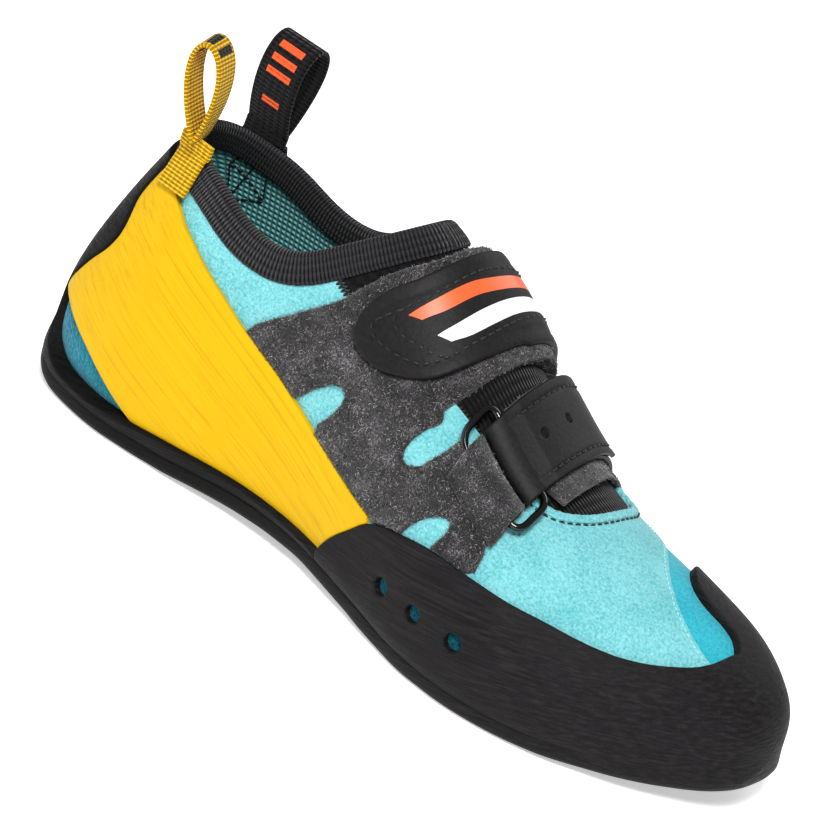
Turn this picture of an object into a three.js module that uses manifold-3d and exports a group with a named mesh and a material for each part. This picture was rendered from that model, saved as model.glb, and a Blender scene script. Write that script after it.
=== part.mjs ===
// Climbing shoe for the right foot, empty and standing on its sole.
// Millimetres: +X to the toe, +Y to the inner side of the foot, +Z up.
// The origin is on the floor under the heel seat.
import * as THREE from 'three';
import Module from 'manifold-3d';

const wasm = await Module();
wasm.setup();
const { Manifold, Mesh: SolidMesh } = wasm;

// Overall sizes
const FORM_LENGTH = 243;     // back of the heel to tip of the toe, over the leather
const BALL_WIDTH = 82;       // widest, across the ball of the foot
const FORM_HEIGHT = 110;     // sole's top to the top of the ankle form, which the collar cuts off
const HEEL_SEAT = 33;        // back of the heel to the middle of the heel's flat spot

// Walls and layers
const WALL = 1.8;            // leather of the upper, and the elastic tongue
const CLEARANCE = 0.3;       // between glued or sewn neighbours
const SOLE = 4.5;            // rubber under the foot
const SOLE_LIP = 1.0;        // how far the sole's edge rises past the leather's underside
const SOLE_EDGE = 1.2;       // how far the sole stands out past the leather's widest line
const SOLE_BEVEL = 1.1;      // rounding of the sole's lower edge
const INSOLE = 1.5;
const RAND = 2.0;            // rubber round the toe and the heel
const BAND = 1.6;            // tension band on each side
const FELT = 1.5;
const STRAP = 1.6;           // leather of the straps
const BINDING = 1.2;         // tape folded over the collar
const BINDING_WIDTH = 7.5;
const LASTING_MARGIN = 10;   // leather turned in under the foot
const VENT = 5;              // holes through the rand

// Buckle ring, straps and pull loops
const RING_LENGTH = 34;
const RING_WIDTH = 14.4;
const RING_WIRE = 2.2;
const RING_CORNER = 3.6;     // bend of the wire, to its middle
const FOLD_ROOM = 0.5;       // between the wire and a strip folded round it
const STRAP_WIDTH = 24;
const LAY = 0.45;            // under a strip laid on the form, whose facets sag a little
const TAB_LENGTH = 9;        // from the ring's outer bar to the tab's sewn end
const FELT_MARGIN = 3;       // felt that shows beside the front strap
const LOOP_WEBBING = 1.3;
const LOOP_WIDTH = 15;
const LOOP_HEIGHT = 30;
const LOOP_STAND = 4.5;      // how far the sewn end reaches before the loop opens

const table = (columns, rows) => rows.map(
  (row) => Object.fromEntries(columns.map((name, i) => [name, row[i]])),
);

// Sections of the leather form, each square to X.
// along: share of FORM_LENGTH. line, outer, inner: shares of BALL_WIDTH, for the middle line and the
// half widths to each side. girth, rise, base: shares of FORM_HEIGHT, for the level of the widest
// point, the height above it and the underside. roundTop, roundBase: 2 is an ellipse, more is squarer.
const LAST = table(
  ['along', 'line', 'outer', 'inner', 'girth', 'rise', 'base', 'roundTop', 'roundBase'],
  [
    [0.000, 0.000, 0.000, 0.000, 0.205, 0.000, 0.205, 2.0, 2.2],
    [0.004, 0.000, 0.159, 0.159, 0.205, 0.136, 0.095, 1.9, 2.4],
    [0.019, 0.000, 0.268, 0.268, 0.205, 0.264, 0.032, 1.8, 3.0],
    [0.041, 0.000, 0.317, 0.317, 0.205, 0.436, 0.005, 1.6, 3.6],
    [0.082, 0.000, 0.360, 0.360, 0.195, 0.645, 0.000, 1.45, 4.2],
    [0.148, 0.000, 0.390, 0.390, 0.186, 0.759, 0.000, 1.45, 4.5],
    [0.239, 0.012, 0.384, 0.384, 0.186, 0.764, 0.009, 1.5, 4.5],
    [0.342, 0.037, 0.372, 0.390, 0.205, 0.695, 0.028, 1.7, 4.5],
    [0.436, 0.049, 0.402, 0.421, 0.214, 0.591, 0.035, 1.9, 4.5],
    [0.535, 0.061, 0.476, 0.433, 0.195, 0.468, 0.020, 2.0, 4.5],
    [0.634, 0.073, 0.555, 0.433, 0.159, 0.359, 0.003, 2.0, 4.5],
    [0.724, 0.091, 0.573, 0.421, 0.132, 0.300, 0.000, 2.0, 4.5],
    [0.815, 0.116, 0.518, 0.396, 0.123, 0.259, 0.006, 2.0, 4.5],
    [0.897, 0.140, 0.390, 0.335, 0.123, 0.207, 0.019, 2.05, 4.5],
    [0.955, 0.140, 0.238, 0.232, 0.123, 0.150, 0.034, 2.2, 4.0],
    [0.988, 0.134, 0.128, 0.128, 0.123, 0.091, 0.050, 2.3, 3.2],
    [1.000, 0.134, 0.000, 0.000, 0.123, 0.000, 0.123, 2.0, 2.6],
  ],
);
const RAND_CORNER = 8;       // the rand is squarer than the leather where it meets the sole

// Side outlines: along is a share of FORM_LENGTH, level a share of FORM_HEIGHT above the sole.
const OUTLINE = ['along', 'level'];
const RIM = table(OUTLINE, [
  [-0.030, 0.745], [0.062, 0.732], [0.107, 0.707], [0.136, 0.694], [0.165, 0.675], [0.198, 0.649],
  [0.226, 0.635], [0.255, 0.633], [0.280, 0.646], [0.305, 0.679], [0.329, 0.725], [0.354, 0.774],
  [0.383, 0.832], [0.430, 0.930],
]);
const HEEL_EDGE = table(OUTLINE, [
  [0.110, 0.980], [0.091, 0.741], [0.074, 0.659], [0.062, 0.577], [0.059, 0.532], [0.063, 0.486],
  [0.064, 0.445], [0.057, 0.395], [0.039, 0.332], [0.026, 0.277], [0.018, 0.230], [0.021, 0.150],
  [0.025, 0.106], [0.035, 0.074], [0.053, 0.052], [0.086, 0.043], [0.144, 0.046], [0.189, 0.054],
  [0.239, 0.065], [0.321, 0.073], [0.403, 0.074], [0.477, 0.066],
]);
const RAND_EDGE = table(OUTLINE, [
  [0.477, 0.066], [0.490, 0.123], [0.510, 0.177], [0.539, 0.243], [0.582, 0.273], [0.620, 0.288],
  [0.679, 0.284], [0.728, 0.276], [0.774, 0.273], [0.819, 0.267], [0.856, 0.266], [0.893, 0.277],
  [0.918, 0.295], [0.926, 0.323], [1.100, 0.340],
]);
const BAND_EDGE = table(OUTLINE, [
  [0.570, 0.215], [0.539, 0.243], [0.488, 0.268], [0.428, 0.306], [0.370, 0.355], [0.317, 0.399],
  [0.266, 0.441], [0.226, 0.479], [0.192, 0.512], [0.160, 0.548], [0.136, 0.574], [0.117, 0.600],
  [0.075, 0.650], [-0.030, 0.660], [-0.030, 0.240], [0.018, 0.230], [0.037, 0.209], [0.067, 0.177],
  [0.102, 0.143], [0.140, 0.103], [0.165, 0.076], [0.193, 0.045], [0.193, -0.050], [0.570, -0.050],
]);
const FELT_EDGE = table(OUTLINE, [
  [0.263, 0.414], [0.272, 0.443], [0.317, 0.538], [0.365, 0.643], [0.377, 0.689], [0.394, 0.741],
  [0.411, 0.779], [0.424, 0.810], [0.440, 0.980], [0.551, 0.980], [0.546, 0.632], [0.544, 0.593],
  [0.537, 0.545], [0.543, 0.527], [0.568, 0.512], [0.640, 0.400], [0.671, 0.345], [0.675, 0.327],
  [0.681, 0.270], [0.609, 0.232], [0.539, 0.205], [0.403, 0.286],
]);
const FELT_INNER_EDGE = table(OUTLINE, [
  [0.440, 0.980], [0.424, 0.800], [0.416, 0.686], [0.409, 0.541], [0.412, 0.405], [0.469, 0.368],
  [0.530, 0.345], [0.538, 0.505], [0.546, 0.632], [0.551, 0.980],
]);
const FLAP_EDGE = table(OUTLINE, [
  [0.453, 0.980], [0.434, 0.803], [0.422, 0.751], [0.404, 0.702], [0.395, 0.650], [0.394, 0.609],
  [0.402, 0.573], [0.420, 0.553], [0.447, 0.546], [0.484, 0.564], [0.507, 0.589], [0.523, 0.636],
  [0.531, 0.677], [0.538, 0.980],
]);
const FLAP_INNER_EDGE = table(OUTLINE, [
  [0.453, 0.980], [0.434, 0.800], [0.424, 0.686], [0.417, 0.541], [0.420, 0.418], [0.469, 0.385],
  [0.522, 0.361], [0.528, 0.505], [0.532, 0.640], [0.538, 0.980],
]);
// Shares of FORM_LENGTH and FORM_HEIGHT that no table holds
const HEEL_STRIP_END = 0.477;        // along, where the heel's rubber strip meets the toe's rand
const BAND_FRONT = 0.6;              // along, ahead of both bands
const PAST_TOE = 1.1;                // along, ahead of the toe
const THROAT_FLOOR = 0.15;           // level, below the edge of the throat all round
const LASTING_LEVEL = 0.06;          // level, just above the leather under the foot
const LASTING_ENDS = 2;              // row numbers of LAST from each end to the opening under the foot

// Plan outlines: along is a share of FORM_LENGTH, across a share of BALL_WIDTH.
const PLAN = ['along', 'across'];
const THROAT = table(PLAN, [
  [0.337, -0.211], [0.370, -0.222], [0.444, -0.232], [0.568, -0.213], [0.650, -0.171],
  [0.687, -0.128], [0.705, -0.054], [0.714, 0.030], [0.717, 0.134], [0.714, 0.232], [0.700, 0.317],
  [0.650, 0.348], [0.568, 0.341], [0.486, 0.317], [0.403, 0.287], [0.337, 0.256],
]);
const TOE_PATCH = table(PLAN, [
  [1.100, 0.073], [0.930, 0.073], [0.920, 0.116], [0.907, 0.150], [0.891, 0.159], [0.861, 0.151],
  [0.837, 0.171], [0.818, 0.210], [0.786, 0.293], [0.749, 0.378], [0.700, 0.520], [0.700, 0.900],
  [1.100, 0.900],
]);

// Underside of the sole: lift is a share of FORM_HEIGHT, zero on the two flat spots.
const TREAD = table(['along', 'lift'], [
  [-0.005, 0.082], [0.004, 0.059], [0.019, 0.029], [0.041, 0.008], [0.074, 0.000], [0.206, 0.000],
  [0.288, 0.015], [0.383, 0.028], [0.477, 0.023], [0.568, 0.007], [0.634, 0.000], [0.774, 0.000],
  [0.848, 0.009], [0.914, 0.024], [0.963, 0.038], [0.996, 0.055], [1.010, 0.067],
]);

// Openings in the felt, as long ovals: long and wide are shares of BALL_WIDTH, tilt in degrees.
const FELT_WINDOWS = table(['along', 'level', 'long', 'wide', 'tilt'], [
  [0.396, 0.377, 0.130, 0.058, 52],
  [0.549, 0.471, 0.092, 0.052, 60],
  [0.603, 0.303, 0.095, 0.046, 52],
]);
const VENTS = table(OUTLINE, [[0.588, 0.133], [0.642, 0.137], [0.700, 0.140]]);

// Where the ring lies on the form: a row number of LAST and degrees round the section.
const RING_STATION = 9.93;
const RING_TURN = 57;
const FRONT_STRAP_END = 121;         // degrees, where the folded strap ends
const STRAP_ANCHOR = 150;            // degrees, where the front strap is sewn down
const STRAP_SLANT = -0.0036;         // stations back per degree towards the inner side

// Pull loops: where each is sewn on, which way the webbing faces and how it leans.
const LOOPS = table(
  ['name', 'side', 'station', 'turn', 'facing', 'bulge', 'lean'],
  [
    ['pull_loop_outer', -1, 4.25, 44, [0.15, -1, 0], 7.5, [-0.32, 0, 0]],
    ['pull_loop_inner', 1, 4.25, 44, [1, 0, 0], 5.5, [0.02, 0.06, 0]],
  ],
);
const LOOP_TAIL = 10;                // degrees of the section that the sewn end covers
const LOOP_STEPS = 18;
const TEARDROP = 1.3;                // makes a loop's widest place equal to its bulge

const COLOURS = {
  leather: 0x6dd0d4,
  rubber: 0x262425,
  band: 0xf7c417,
  felt: 0x4c494c,
  strap: 0x1d1c1d,
  elastic: 0x171718,
  binding: 0x222124,
  insole: 0x3f8f8f,
  wire: 0x111114,
  outerLoop: 0xe0b21c,
  innerLoop: 0x1b1b1d,
};

const RING_COUNT = 24;               // points round each section of the form
const OVAL_COUNT = 12;               // points round an oval opening
const WIRE_COUNT = 8;                // points round the wire
const STRIP_PITCH = 7;               // degrees between the facets of a laid strip
const FOLD_PITCH = 30;               // degrees between the facets of a fold
const FAR = FORM_LENGTH;             // past every face, for cutters
const NUDGE = 0.02;                  // stations to each side, for the form's direction
const NUDGE_TURN = 0.6;              // degrees to each side

const add = (a, b, k = 1) => [a[0] + b[0] * k, a[1] + b[1] * k, a[2] + b[2] * k];
const cross = (a, b) => [
  a[1] * b[2] - a[2] * b[1],
  a[2] * b[0] - a[0] * b[2],
  a[0] * b[1] - a[1] * b[0],
];
const unit = (a) => {
  const size = Math.hypot(...a);
  return a.map((v) => v / size);
};
const degrees = (a) => (a * Math.PI) / 180;
const xAt = (along) => along * FORM_LENGTH - HEEL_SEAT;
const zAt = (level) => SOLE + level * FORM_HEIGHT;
const sidePoint = ({ along, level }) => [xAt(along), zAt(level)];
const planPoint = ({ along, across }) => [xAt(along), across * BALL_WIDTH];

// A closed solid from points and triangles, turned so that its faces point outwards.
function solid(points, faces) {
  let volume = 0;
  for (const [a, b, c] of faces) {
    const n = cross(points[a], points[b]);
    volume += n[0] * points[c][0] + n[1] * points[c][1] + n[2] * points[c][2];
  }
  const turned = volume < 0 ? faces.map(([a, b, c]) => [a, c, b]) : faces;
  return new Manifold(new SolidMesh({
    numProp: 3,
    vertProperties: new Float32Array(points.flat()),
    triVerts: new Uint32Array(turned.flat()),
  }));
}

// Two triangles for each cell between neighbouring loops of points.
function skin(loopStarts, count, closed = true) {
  const faces = [];
  for (let k = 0; k + 1 < loopStarts.length; k += 1) {
    for (let i = 0; i < (closed ? count : count - 1); i += 1) {
      const a = loopStarts[k] + i;
      const b = loopStarts[k] + ((i + 1) % count);
      const c = loopStarts[k + 1] + i;
      const d = loopStarts[k + 1] + ((i + 1) % count);
      faces.push([a, b, d], [a, d, c]);
    }
  }
  return faces;
}

// Triangles that close a loop whose first half runs out and whose second half runs back beside it
function ladder(count) {
  const faces = [];
  for (let i = 0; i + 1 < count / 2; i += 1) {
    faces.push([i, i + 1, count - 2 - i], [i, count - 2 - i, count - 1 - i]);
  }
  return faces;
}

// A flat outline swept straight between two distances, stood up by place(u, v, distance).
function prism(outline, from, to, place) {
  const count = outline.length;
  const points = [
    ...outline.map(([u, v]) => place(u, v, from)),
    ...outline.map(([u, v]) => place(u, v, to)),
  ];
  const flat = outline.map(([u, v]) => new THREE.Vector2(u, v));
  const cap = THREE.ShapeUtils.triangulateShape(flat, []);
  const ccw = THREE.ShapeUtils.isClockWise(flat) ? -1 : 1;
  const faces = [];
  for (const [a, b, c] of cap) {
    faces.push([a, c, b], [a + count, b + count, c + count]);
  }
  for (const [a, b, d] of skin([0, count], count)) {
    faces.push(ccw > 0 ? [a, b, d] : [a, d, b]);
  }
  return solid(points, faces);
}
const sideCut = (outline, from = -FAR, to = FAR) => prism(outline, from, to, (u, v, w) => [u, w, v]);
const planCut = (outline, from = -FAR, to = FAR) => prism(outline, from, to, (u, v, w) => [u, v, w]);

// An outline moved to its left by a distance; closed outlines run counter-clockwise grow inwards.
function shifted(outline, distance, closed = true) {
  const count = outline.length;
  return outline.map((point, i) => {
    const before = outline[closed ? (i + count - 1) % count : Math.max(i - 1, 0)];
    const after = outline[closed ? (i + 1) % count : Math.min(i + 1, count - 1)];
    const tangents = [[before, point], [point, after]]
      .filter(([p, q]) => p !== q)
      .map(([p, q]) => {
        const size = Math.hypot(q[0] - p[0], q[1] - p[1]);
        return [(q[0] - p[0]) / size, (q[1] - p[1]) / size];
      });
    const sum = tangents.reduce((s, t) => [s[0] + t[0], s[1] + t[1]], [0, 0]);
    const size = Math.hypot(...sum);
    const normal = [-sum[1] / size, sum[0] / size];
    const along = tangents[0][0] * normal[1] - tangents[0][1] * normal[0];
    const mitre = distance / Math.max(Math.abs(along), 0.5);
    return [point[0] + normal[0] * mitre, point[1] + normal[1] * mitre];
  });
}
const areaOf = (outline) => outline.reduce((sum, [x, y], i) => {
  const [u, v] = outline[(i + 1) % outline.length];
  return sum + (x * v - u * y) / 2;
}, 0);
const grown = (outline, distance) => shifted(outline, areaOf(outline) > 0 ? -distance : distance);

// Rows of numbers joined smoothly. Columns named in mirrored change sign past both ends,
// so that they close on a round point there.
function smooth(rows, station, mirrored = []) {
  const last = rows.length - 1;
  const at = (i) => {
    if (i >= 0 && i <= last) return rows[i];
    const near = i < 0 ? rows[1] : rows[last - 1];
    const end = i < 0 ? rows[0] : rows[last];
    return near.map((v, k) => (mirrored.includes(k) ? 2 * end[k] - v : v));
  };
  const s = Math.min(Math.max(station, 0), last - 1e-9);
  const i = Math.floor(s);
  const f = s - i;
  const [a, b, c, d] = [at(i - 1), at(i), at(i + 1), at(i + 2)];
  return b.map((_, k) => 0.5 * (2 * b[k] + (c[k] - a[k]) * f
    + (2 * a[k] - 5 * b[k] + 4 * c[k] - d[k]) * f * f
    + (3 * b[k] - a[k] - 3 * c[k] + d[k]) * f * f * f));
}

// The leather form
const FORM_ROWS = LAST.map((row) => [
  xAt(row.along),
  row.line * BALL_WIDTH,
  row.outer * BALL_WIDTH,
  row.inner * BALL_WIDTH,
  zAt(row.girth),
  row.rise * FORM_HEIGHT,
  (row.girth - row.base) * FORM_HEIGHT,
  row.roundTop,
  row.roundBase,
]);
const LAST_STATION = FORM_ROWS.length - 1;
const section = (station) => smooth(FORM_ROWS, station, [2, 3, 5, 6]);

// A point of the form: turn is 0 on the outer side, 90 on top, 180 on the inner side, 270 below.
function surface(station, turn, corner) {
  const [x, line, outer, inner, girth, rise, drop, roundTop, roundBase] = section(station);
  const c = Math.cos(degrees(turn));
  const s = Math.sin(degrees(turn));
  const round = s >= 0 ? roundTop : Math.max(roundBase, corner ?? 0);
  const across = Math.sign(c) * Math.abs(c) ** (2 / round) * (c >= 0 ? outer : inner);
  const up = Math.sign(s) * Math.abs(s) ** (2 / round) * (s >= 0 ? rise : drop);
  return [x, line - across, girth + up];
}
function onForm(station, turn, away = 0, corner = undefined) {
  const s0 = Math.max(station - NUDGE, NUDGE / 2);
  const s1 = Math.min(station + NUDGE, LAST_STATION - NUDGE / 2);
  const alongForm = add(surface(s1, turn, corner), surface(s0, turn, corner), -1);
  const [t0, t1] = [turn - NUDGE_TURN, turn + NUDGE_TURN];
  const roundForm = add(surface(station, t1, corner), surface(station, t0, corner), -1);
  return add(surface(station, turn, corner), unit(cross(alongForm, roundForm)), away);
}

// Sections that carry the facets: closest over the instep and at both round ends
const STATIONS = [
  0.4, 0.9, 1.5, 2.2, 3, 3.7, 4.4, 5.1, 5.8, 6.5, 7.2, 7.8, 8.4, 9, 9.5, 10, 10.5, 11, 11.6, 12.3,
  13, 13.7, 14.4, 15, 15.6,
];

// The whole form, grown or shrunk by a distance.
function form(away, corner) {
  const heel = surface(0, 0);
  const toe = surface(LAST_STATION, 0);
  const points = [[heel[0] - away, heel[1], heel[2]]];
  for (const station of STATIONS) {
    for (let i = 0; i < RING_COUNT; i += 1) {
      points.push(onForm(station, (360 * i) / RING_COUNT, away, corner));
    }
  }
  const tip = points.push([toe[0] + away, toe[1], toe[2]]) - 1;
  const faces = skin(STATIONS.map((_, k) => 1 + k * RING_COUNT), RING_COUNT);
  for (let i = 0; i < RING_COUNT; i += 1) {
    const next = (i + 1) % RING_COUNT;
    const end = tip - RING_COUNT;
    faces.push([0, 1 + next, 1 + i], [tip, end + i, end + next]);
  }
  return solid(points, faces);
}
const shell = (inner, outer, corner) => form(outer, corner).subtract(form(inner));

// Lines along the shoe: the leather's underside, and the sole's lower and upper faces.
const TREAD_ROWS = TREAD.map((row) => [xAt(row.along), row.lift * FORM_HEIGHT]);
function treadAt(x) {
  let i = 0;
  while (i < TREAD_ROWS.length - 2 && TREAD_ROWS[i + 1][0] < x) i += 1;
  const [[x0], [x1]] = [TREAD_ROWS[i], TREAD_ROWS[i + 1]];
  return Math.max(0, smooth(TREAD_ROWS, i + Math.min(Math.max((x - x0) / (x1 - x0), 0), 1))[1]);
}
const carriedOut = (line) => [[-FAR, line[0][1]], ...line, [FAR, line.at(-1)[1]]];
const under = (line) => sideCut([...carriedOut(line), [FAR, -FAR], [-FAR, -FAR]]);
const over = (line) => sideCut([...carriedOut(line), [FAR, FAR], [-FAR, FAR]]);
const underside = STATIONS.map((station) => surface(station, 270)).map(([x, , z]) => [x, z]);

// The widest line of the form seen from above, moved outwards.
function planEdge(station, side, away) {
  const at = (s) => {
    const [x, line, outer, inner] = section(s);
    return [x, line + (side < 0 ? -outer : inner)];
  };
  const [a, b] = [at(Math.max(station - NUDGE, 0)), at(Math.min(station + NUDGE, LAST_STATION))];
  const size = Math.hypot(b[0] - a[0], b[1] - a[1]);
  const [x, y] = at(station);
  return [x - (side * away * (b[1] - a[1])) / size, y + (side * away * (b[0] - a[0])) / size];
}
const SOLE_ENDS = 0.06;              // stations from each end to the sole's first and last rung
const SOLE_STATIONS = [SOLE_ENDS, ...STATIONS, LAST_STATION - SOLE_ENDS];
const planLoop = (away, stations = SOLE_STATIONS) => [
  ...stations.map((s) => planEdge(s, -1, away)),
  ...stations.map((s) => planEdge(s, 1, away)).reverse(),
];

// The sole's underside at each of those stations, as [x, z]
const soleRungs = SOLE_STATIONS.map((s) => {
  const x = (planEdge(s, -1, SOLE_EDGE)[0] + planEdge(s, 1, SOLE_EDGE)[0]) / 2;
  return [x, treadAt(x)];
});

// Outlines shared by neighbouring pieces
const rim = RIM.map(sidePoint);
const heelEdge = HEEL_EDGE.map(sidePoint);
const randEdge = RAND_EDGE.map(sidePoint);
const aboveRim = (distance) => over(shifted(rim, distance, false));
const randSide = [...randEdge, [xAt(PAST_TOE), -FAR], [xAt(HEEL_STRIP_END), -FAR]];
const heelWindow = [...heelEdge, [xAt(BAND_FRONT), heelEdge.at(-1)[1]], [xAt(BAND_FRONT), heelEdge[0][1]]];
const throat = THROAT.map(planPoint);
const toePatch = TOE_PATCH.map(planPoint);
const bandSide = BAND_EDGE.map(sidePoint);
const belowCollar = aboveRim(-BINDING_WIDTH - CLEARANCE);
const soleZone = under(soleRungs.map(([x, z]) => [x, z + SOLE + SOLE_LIP + CLEARANCE]));

function outsole() {
  const loops = [
    { away: SOLE_EDGE, lift: SOLE + SOLE_LIP },
    { away: SOLE_EDGE, lift: SOLE_BEVEL },
    { away: SOLE_EDGE - SOLE_BEVEL, lift: 0 },
  ];
  const rungs = [...soleRungs, ...soleRungs.toReversed()];
  const count = rungs.length;
  const points = loops.flatMap(({ away, lift }) => planLoop(away).map(
    ([x, y], i) => [x, y, rungs[i][1] + lift],
  ));
  const faces = skin(loops.map((_, k) => k * count), count);
  const floor = 2 * count;
  for (const [a, b, c] of ladder(count)) faces.push([a, c, b], [floor + a, floor + b, floor + c]);
  return solid(points, faces).subtract(form(CLEARANCE));
}

function wall() {
  return shell(-WALL, 0).subtract(aboveRim(0));
}
// Open at the collar, along the throat and, inside the lasting margin, under the foot
function upper() {
  const lasted = STATIONS.filter((s) => s > LASTING_ENDS && s < LAST_STATION - LASTING_ENDS);
  const opening = planCut(planLoop(-LASTING_MARGIN, lasted), -FAR, zAt(LASTING_LEVEL));
  return wall().subtract(planCut(throat, zAt(THROAT_FLOOR))).subtract(opening);
}
function tongue() {
  return wall().intersect(planCut(grown(throat, -CLEARANCE), zAt(THROAT_FLOOR)));
}
function insole() {
  const top = underside.map(([x, z]) => [x, z + WALL + CLEARANCE + INSOLE]);
  return form(-WALL - CLEARANCE).intersect(under(top));
}

const rubber = () => shell(CLEARANCE, CLEARANCE + RAND, RAND_CORNER).subtract(soleZone);
function rand() {
  const region = sideCut(randSide).add(planCut(toePatch, zAt(0)));
  const vents = VENTS.map(sidePoint).map(([x, z]) => oval(x, z, VENT / 2, VENT / 2, 0));
  return vents.reduce((body, vent) => body.subtract(sideCut(vent, -FAR, 0)), rubber().intersect(region));
}
function heelRand() {
  const front = xAt(HEEL_STRIP_END) - CLEARANCE;
  return rubber()
    .subtract(sideCut(heelWindow))
    .intersect(sideCut([[front, -FAR], [front, FAR], [-FAR, FAR], [-FAR, -FAR]]))
    .subtract(belowCollar);
}
function band(side) {
  return shell(CLEARANCE, CLEARANCE + BAND)
    .intersect(sideCut(bandSide, side < 0 ? -FAR : 0, side < 0 ? 0 : FAR))
    .intersect(sideCut(grown(heelWindow, -CLEARANCE)))
    .subtract(sideCut(grown(randSide, CLEARANCE)))
    .subtract(belowCollar)
    .subtract(soleZone);
}
function binding() {
  const tape = shell(-WALL - CLEARANCE - BINDING, CLEARANCE + BINDING)
    .subtract(aboveRim(CLEARANCE + BINDING))
    .intersect(aboveRim(-BINDING_WIDTH));
  return tape.subtract(shell(-WALL - CLEARANCE, CLEARANCE).subtract(aboveRim(CLEARANCE)));
}

function oval(x, z, long, wide, tilt) {
  return Array.from({ length: OVAL_COUNT }, (_, i) => {
    const a = (2 * Math.PI * i) / OVAL_COUNT;
    const [u, v] = [long * Math.cos(a), wide * Math.sin(a)];
    const [c, s] = [Math.cos(degrees(tilt)), Math.sin(degrees(tilt))];
    return [x + u * c - v * s, z + u * s + v * c];
  });
}
// A leather or felt layer of the rear strap, cut by one outline on each side of the instep.
function overInstep(inner, outer, outerEdge, innerEdge) {
  const crest = section(RING_STATION)[1];
  const region = sideCut(outerEdge.map(sidePoint), -FAR, crest)
    .add(sideCut(innerEdge.map(sidePoint), crest, FAR));
  return shell(inner, outer).intersect(region);
}
function feltPanel() {
  const windows = FELT_WINDOWS.map((w) => sideCut(
    oval(...sidePoint(w), w.long * BALL_WIDTH, w.wide * BALL_WIDTH, w.tilt),
    -FAR,
    0,
  ));
  const panel = overInstep(CLEARANCE, CLEARANCE + FELT, FELT_EDGE, FELT_INNER_EDGE)
    .subtract(sideCut(grown(randSide, CLEARANCE)))
    .subtract(sideCut(grown(bandSide, CLEARANCE)))
    .subtract(belowCollar);
  return [...windows, tabRoom()].reduce((body, cut) => body.subtract(cut), panel);
}
function rearStrap() {
  const start = CLEARANCE + FELT + CLEARANCE;
  return overInstep(start, start + STRAP, FLAP_EDGE, FLAP_INNER_EDGE);
}

// Millimetres per station and per degree at the ring
const perStation = Math.hypot(...add(
  surface(RING_STATION + 0.5, RING_TURN),
  surface(RING_STATION - 0.5, RING_TURN),
  -1,
));
const perDegree = Math.hypot(...add(
  surface(RING_STATION, RING_TURN + 1),
  surface(RING_STATION, RING_TURN - 1),
  -1,
)) / 2;
const STRAP_LEVEL = LAY + FELT + CLEARANCE;                    // under the front strap
const RING_LEVEL = STRAP_LEVEL + STRAP + CLEARANCE / 2;        // middle of the wire
const HALF_BARS = (RING_WIDTH - RING_WIRE) / 2;
const FOLD = RING_WIRE / 2 + FOLD_ROOM;                        // inner radius of a fold
const SETTLE = FOLD * 4;                                       // from the bar to where a fold lies flat
const strapFold = RING_TURN + HALF_BARS / perDegree;
const tabFold = RING_TURN - HALF_BARS / perDegree;
const tabEnd = tabFold - TAB_LENGTH / perDegree;
const halfStrap = STRAP_WIDTH / 2 / perStation;
const slantAt = (turn) => STRAP_SLANT * (turn - RING_TURN);

const evenly = (from, to, pitch) => {
  const steps = Math.max(1, Math.round(Math.abs(to - from) / pitch));
  return Array.from({ length: steps + 1 }, (_, i) => from + ((to - from) * i) / steps);
};

// A layer given as pairs of under and upper points, each of degrees and height above the form,
// carried along the shoe between two stations.
function laid(pairs, from, to, steps = 4) {
  const profile = [...pairs.map(([low]) => low), ...pairs.map(([, high]) => high).reverse()];
  const count = profile.length;
  const points = [];
  for (const station of evenly(from, to, (to - from) / steps)) {
    for (const [turn, away] of profile) points.push(onForm(station + slantAt(turn), turn, away));
  }
  const faces = skin(Array.from({ length: steps + 1 }, (_, k) => k * count), count);
  const end = steps * count;
  for (const [a, b, c] of ladder(count)) faces.push([a, c, b], [end + a, end + b, end + c]);
  return solid(points, faces);
}
const layer = (from, to, low, high) => evenly(from, to, STRIP_PITCH).map(
  (turn) => [[turn, low], [turn, high]],
);

// A strip folded round one bar of the ring. way is 1 towards the inner side, -1 towards the outer.
function folded(fold, way, cloth, lower, upper) {
  const turnAt = (mm) => fold + (way * mm) / perDegree;
  const onArc = (radius, angle) => [
    turnAt(radius * Math.cos(degrees(angle))),
    RING_LEVEL + radius * Math.sin(degrees(angle)),
  ];
  const settle = turnAt(SETTLE);
  return [
    ...layer(lower.end, settle, lower.height, lower.height + cloth),
    ...evenly(-90, -270, FOLD_PITCH).map((angle) => [onArc(FOLD + cloth, angle), onArc(FOLD, angle)]),
    ...layer(settle, upper.end, upper.height + cloth, upper.height),
  ];
}
function frontStrap() {
  const lower = { end: STRAP_ANCHOR, height: STRAP_LEVEL };
  const upperLeg = { end: FRONT_STRAP_END, height: lower.height + STRAP + CLEARANCE };
  const pairs = folded(strapFold, 1, STRAP, lower, upperLeg);
  return laid(pairs, RING_STATION - halfStrap, RING_STATION + halfStrap);
}
function frontStrapFelt() {
  const start = strapFold + SETTLE / perDegree;
  const margin = FELT_MARGIN / perStation;
  return laid(
    layer(start, STRAP_ANCHOR, LAY, LAY + FELT),
    RING_STATION - halfStrap,
    RING_STATION + halfStrap + margin,
  );
}
function ringTab() {
  const lower = { end: tabEnd, height: LAY };
  const upperLeg = { end: tabEnd, height: LAY + FELT + CLEARANCE };
  return laid(
    folded(tabFold, -1, FELT, lower, upperLeg),
    RING_STATION - halfStrap,
    RING_STATION + halfStrap,
  );
}
// The room that the felt panel leaves for the tab and the ring
function tabRoom() {
  const edge = CLEARANCE / perDegree;
  const halfRoom = halfStrap + (2 * CLEARANCE) / perStation;
  return laid(
    layer(tabEnd - edge, RING_TURN, -WALL, RING_LEVEL),
    RING_STATION - halfRoom,
    RING_STATION + halfRoom,
  );
}

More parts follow.
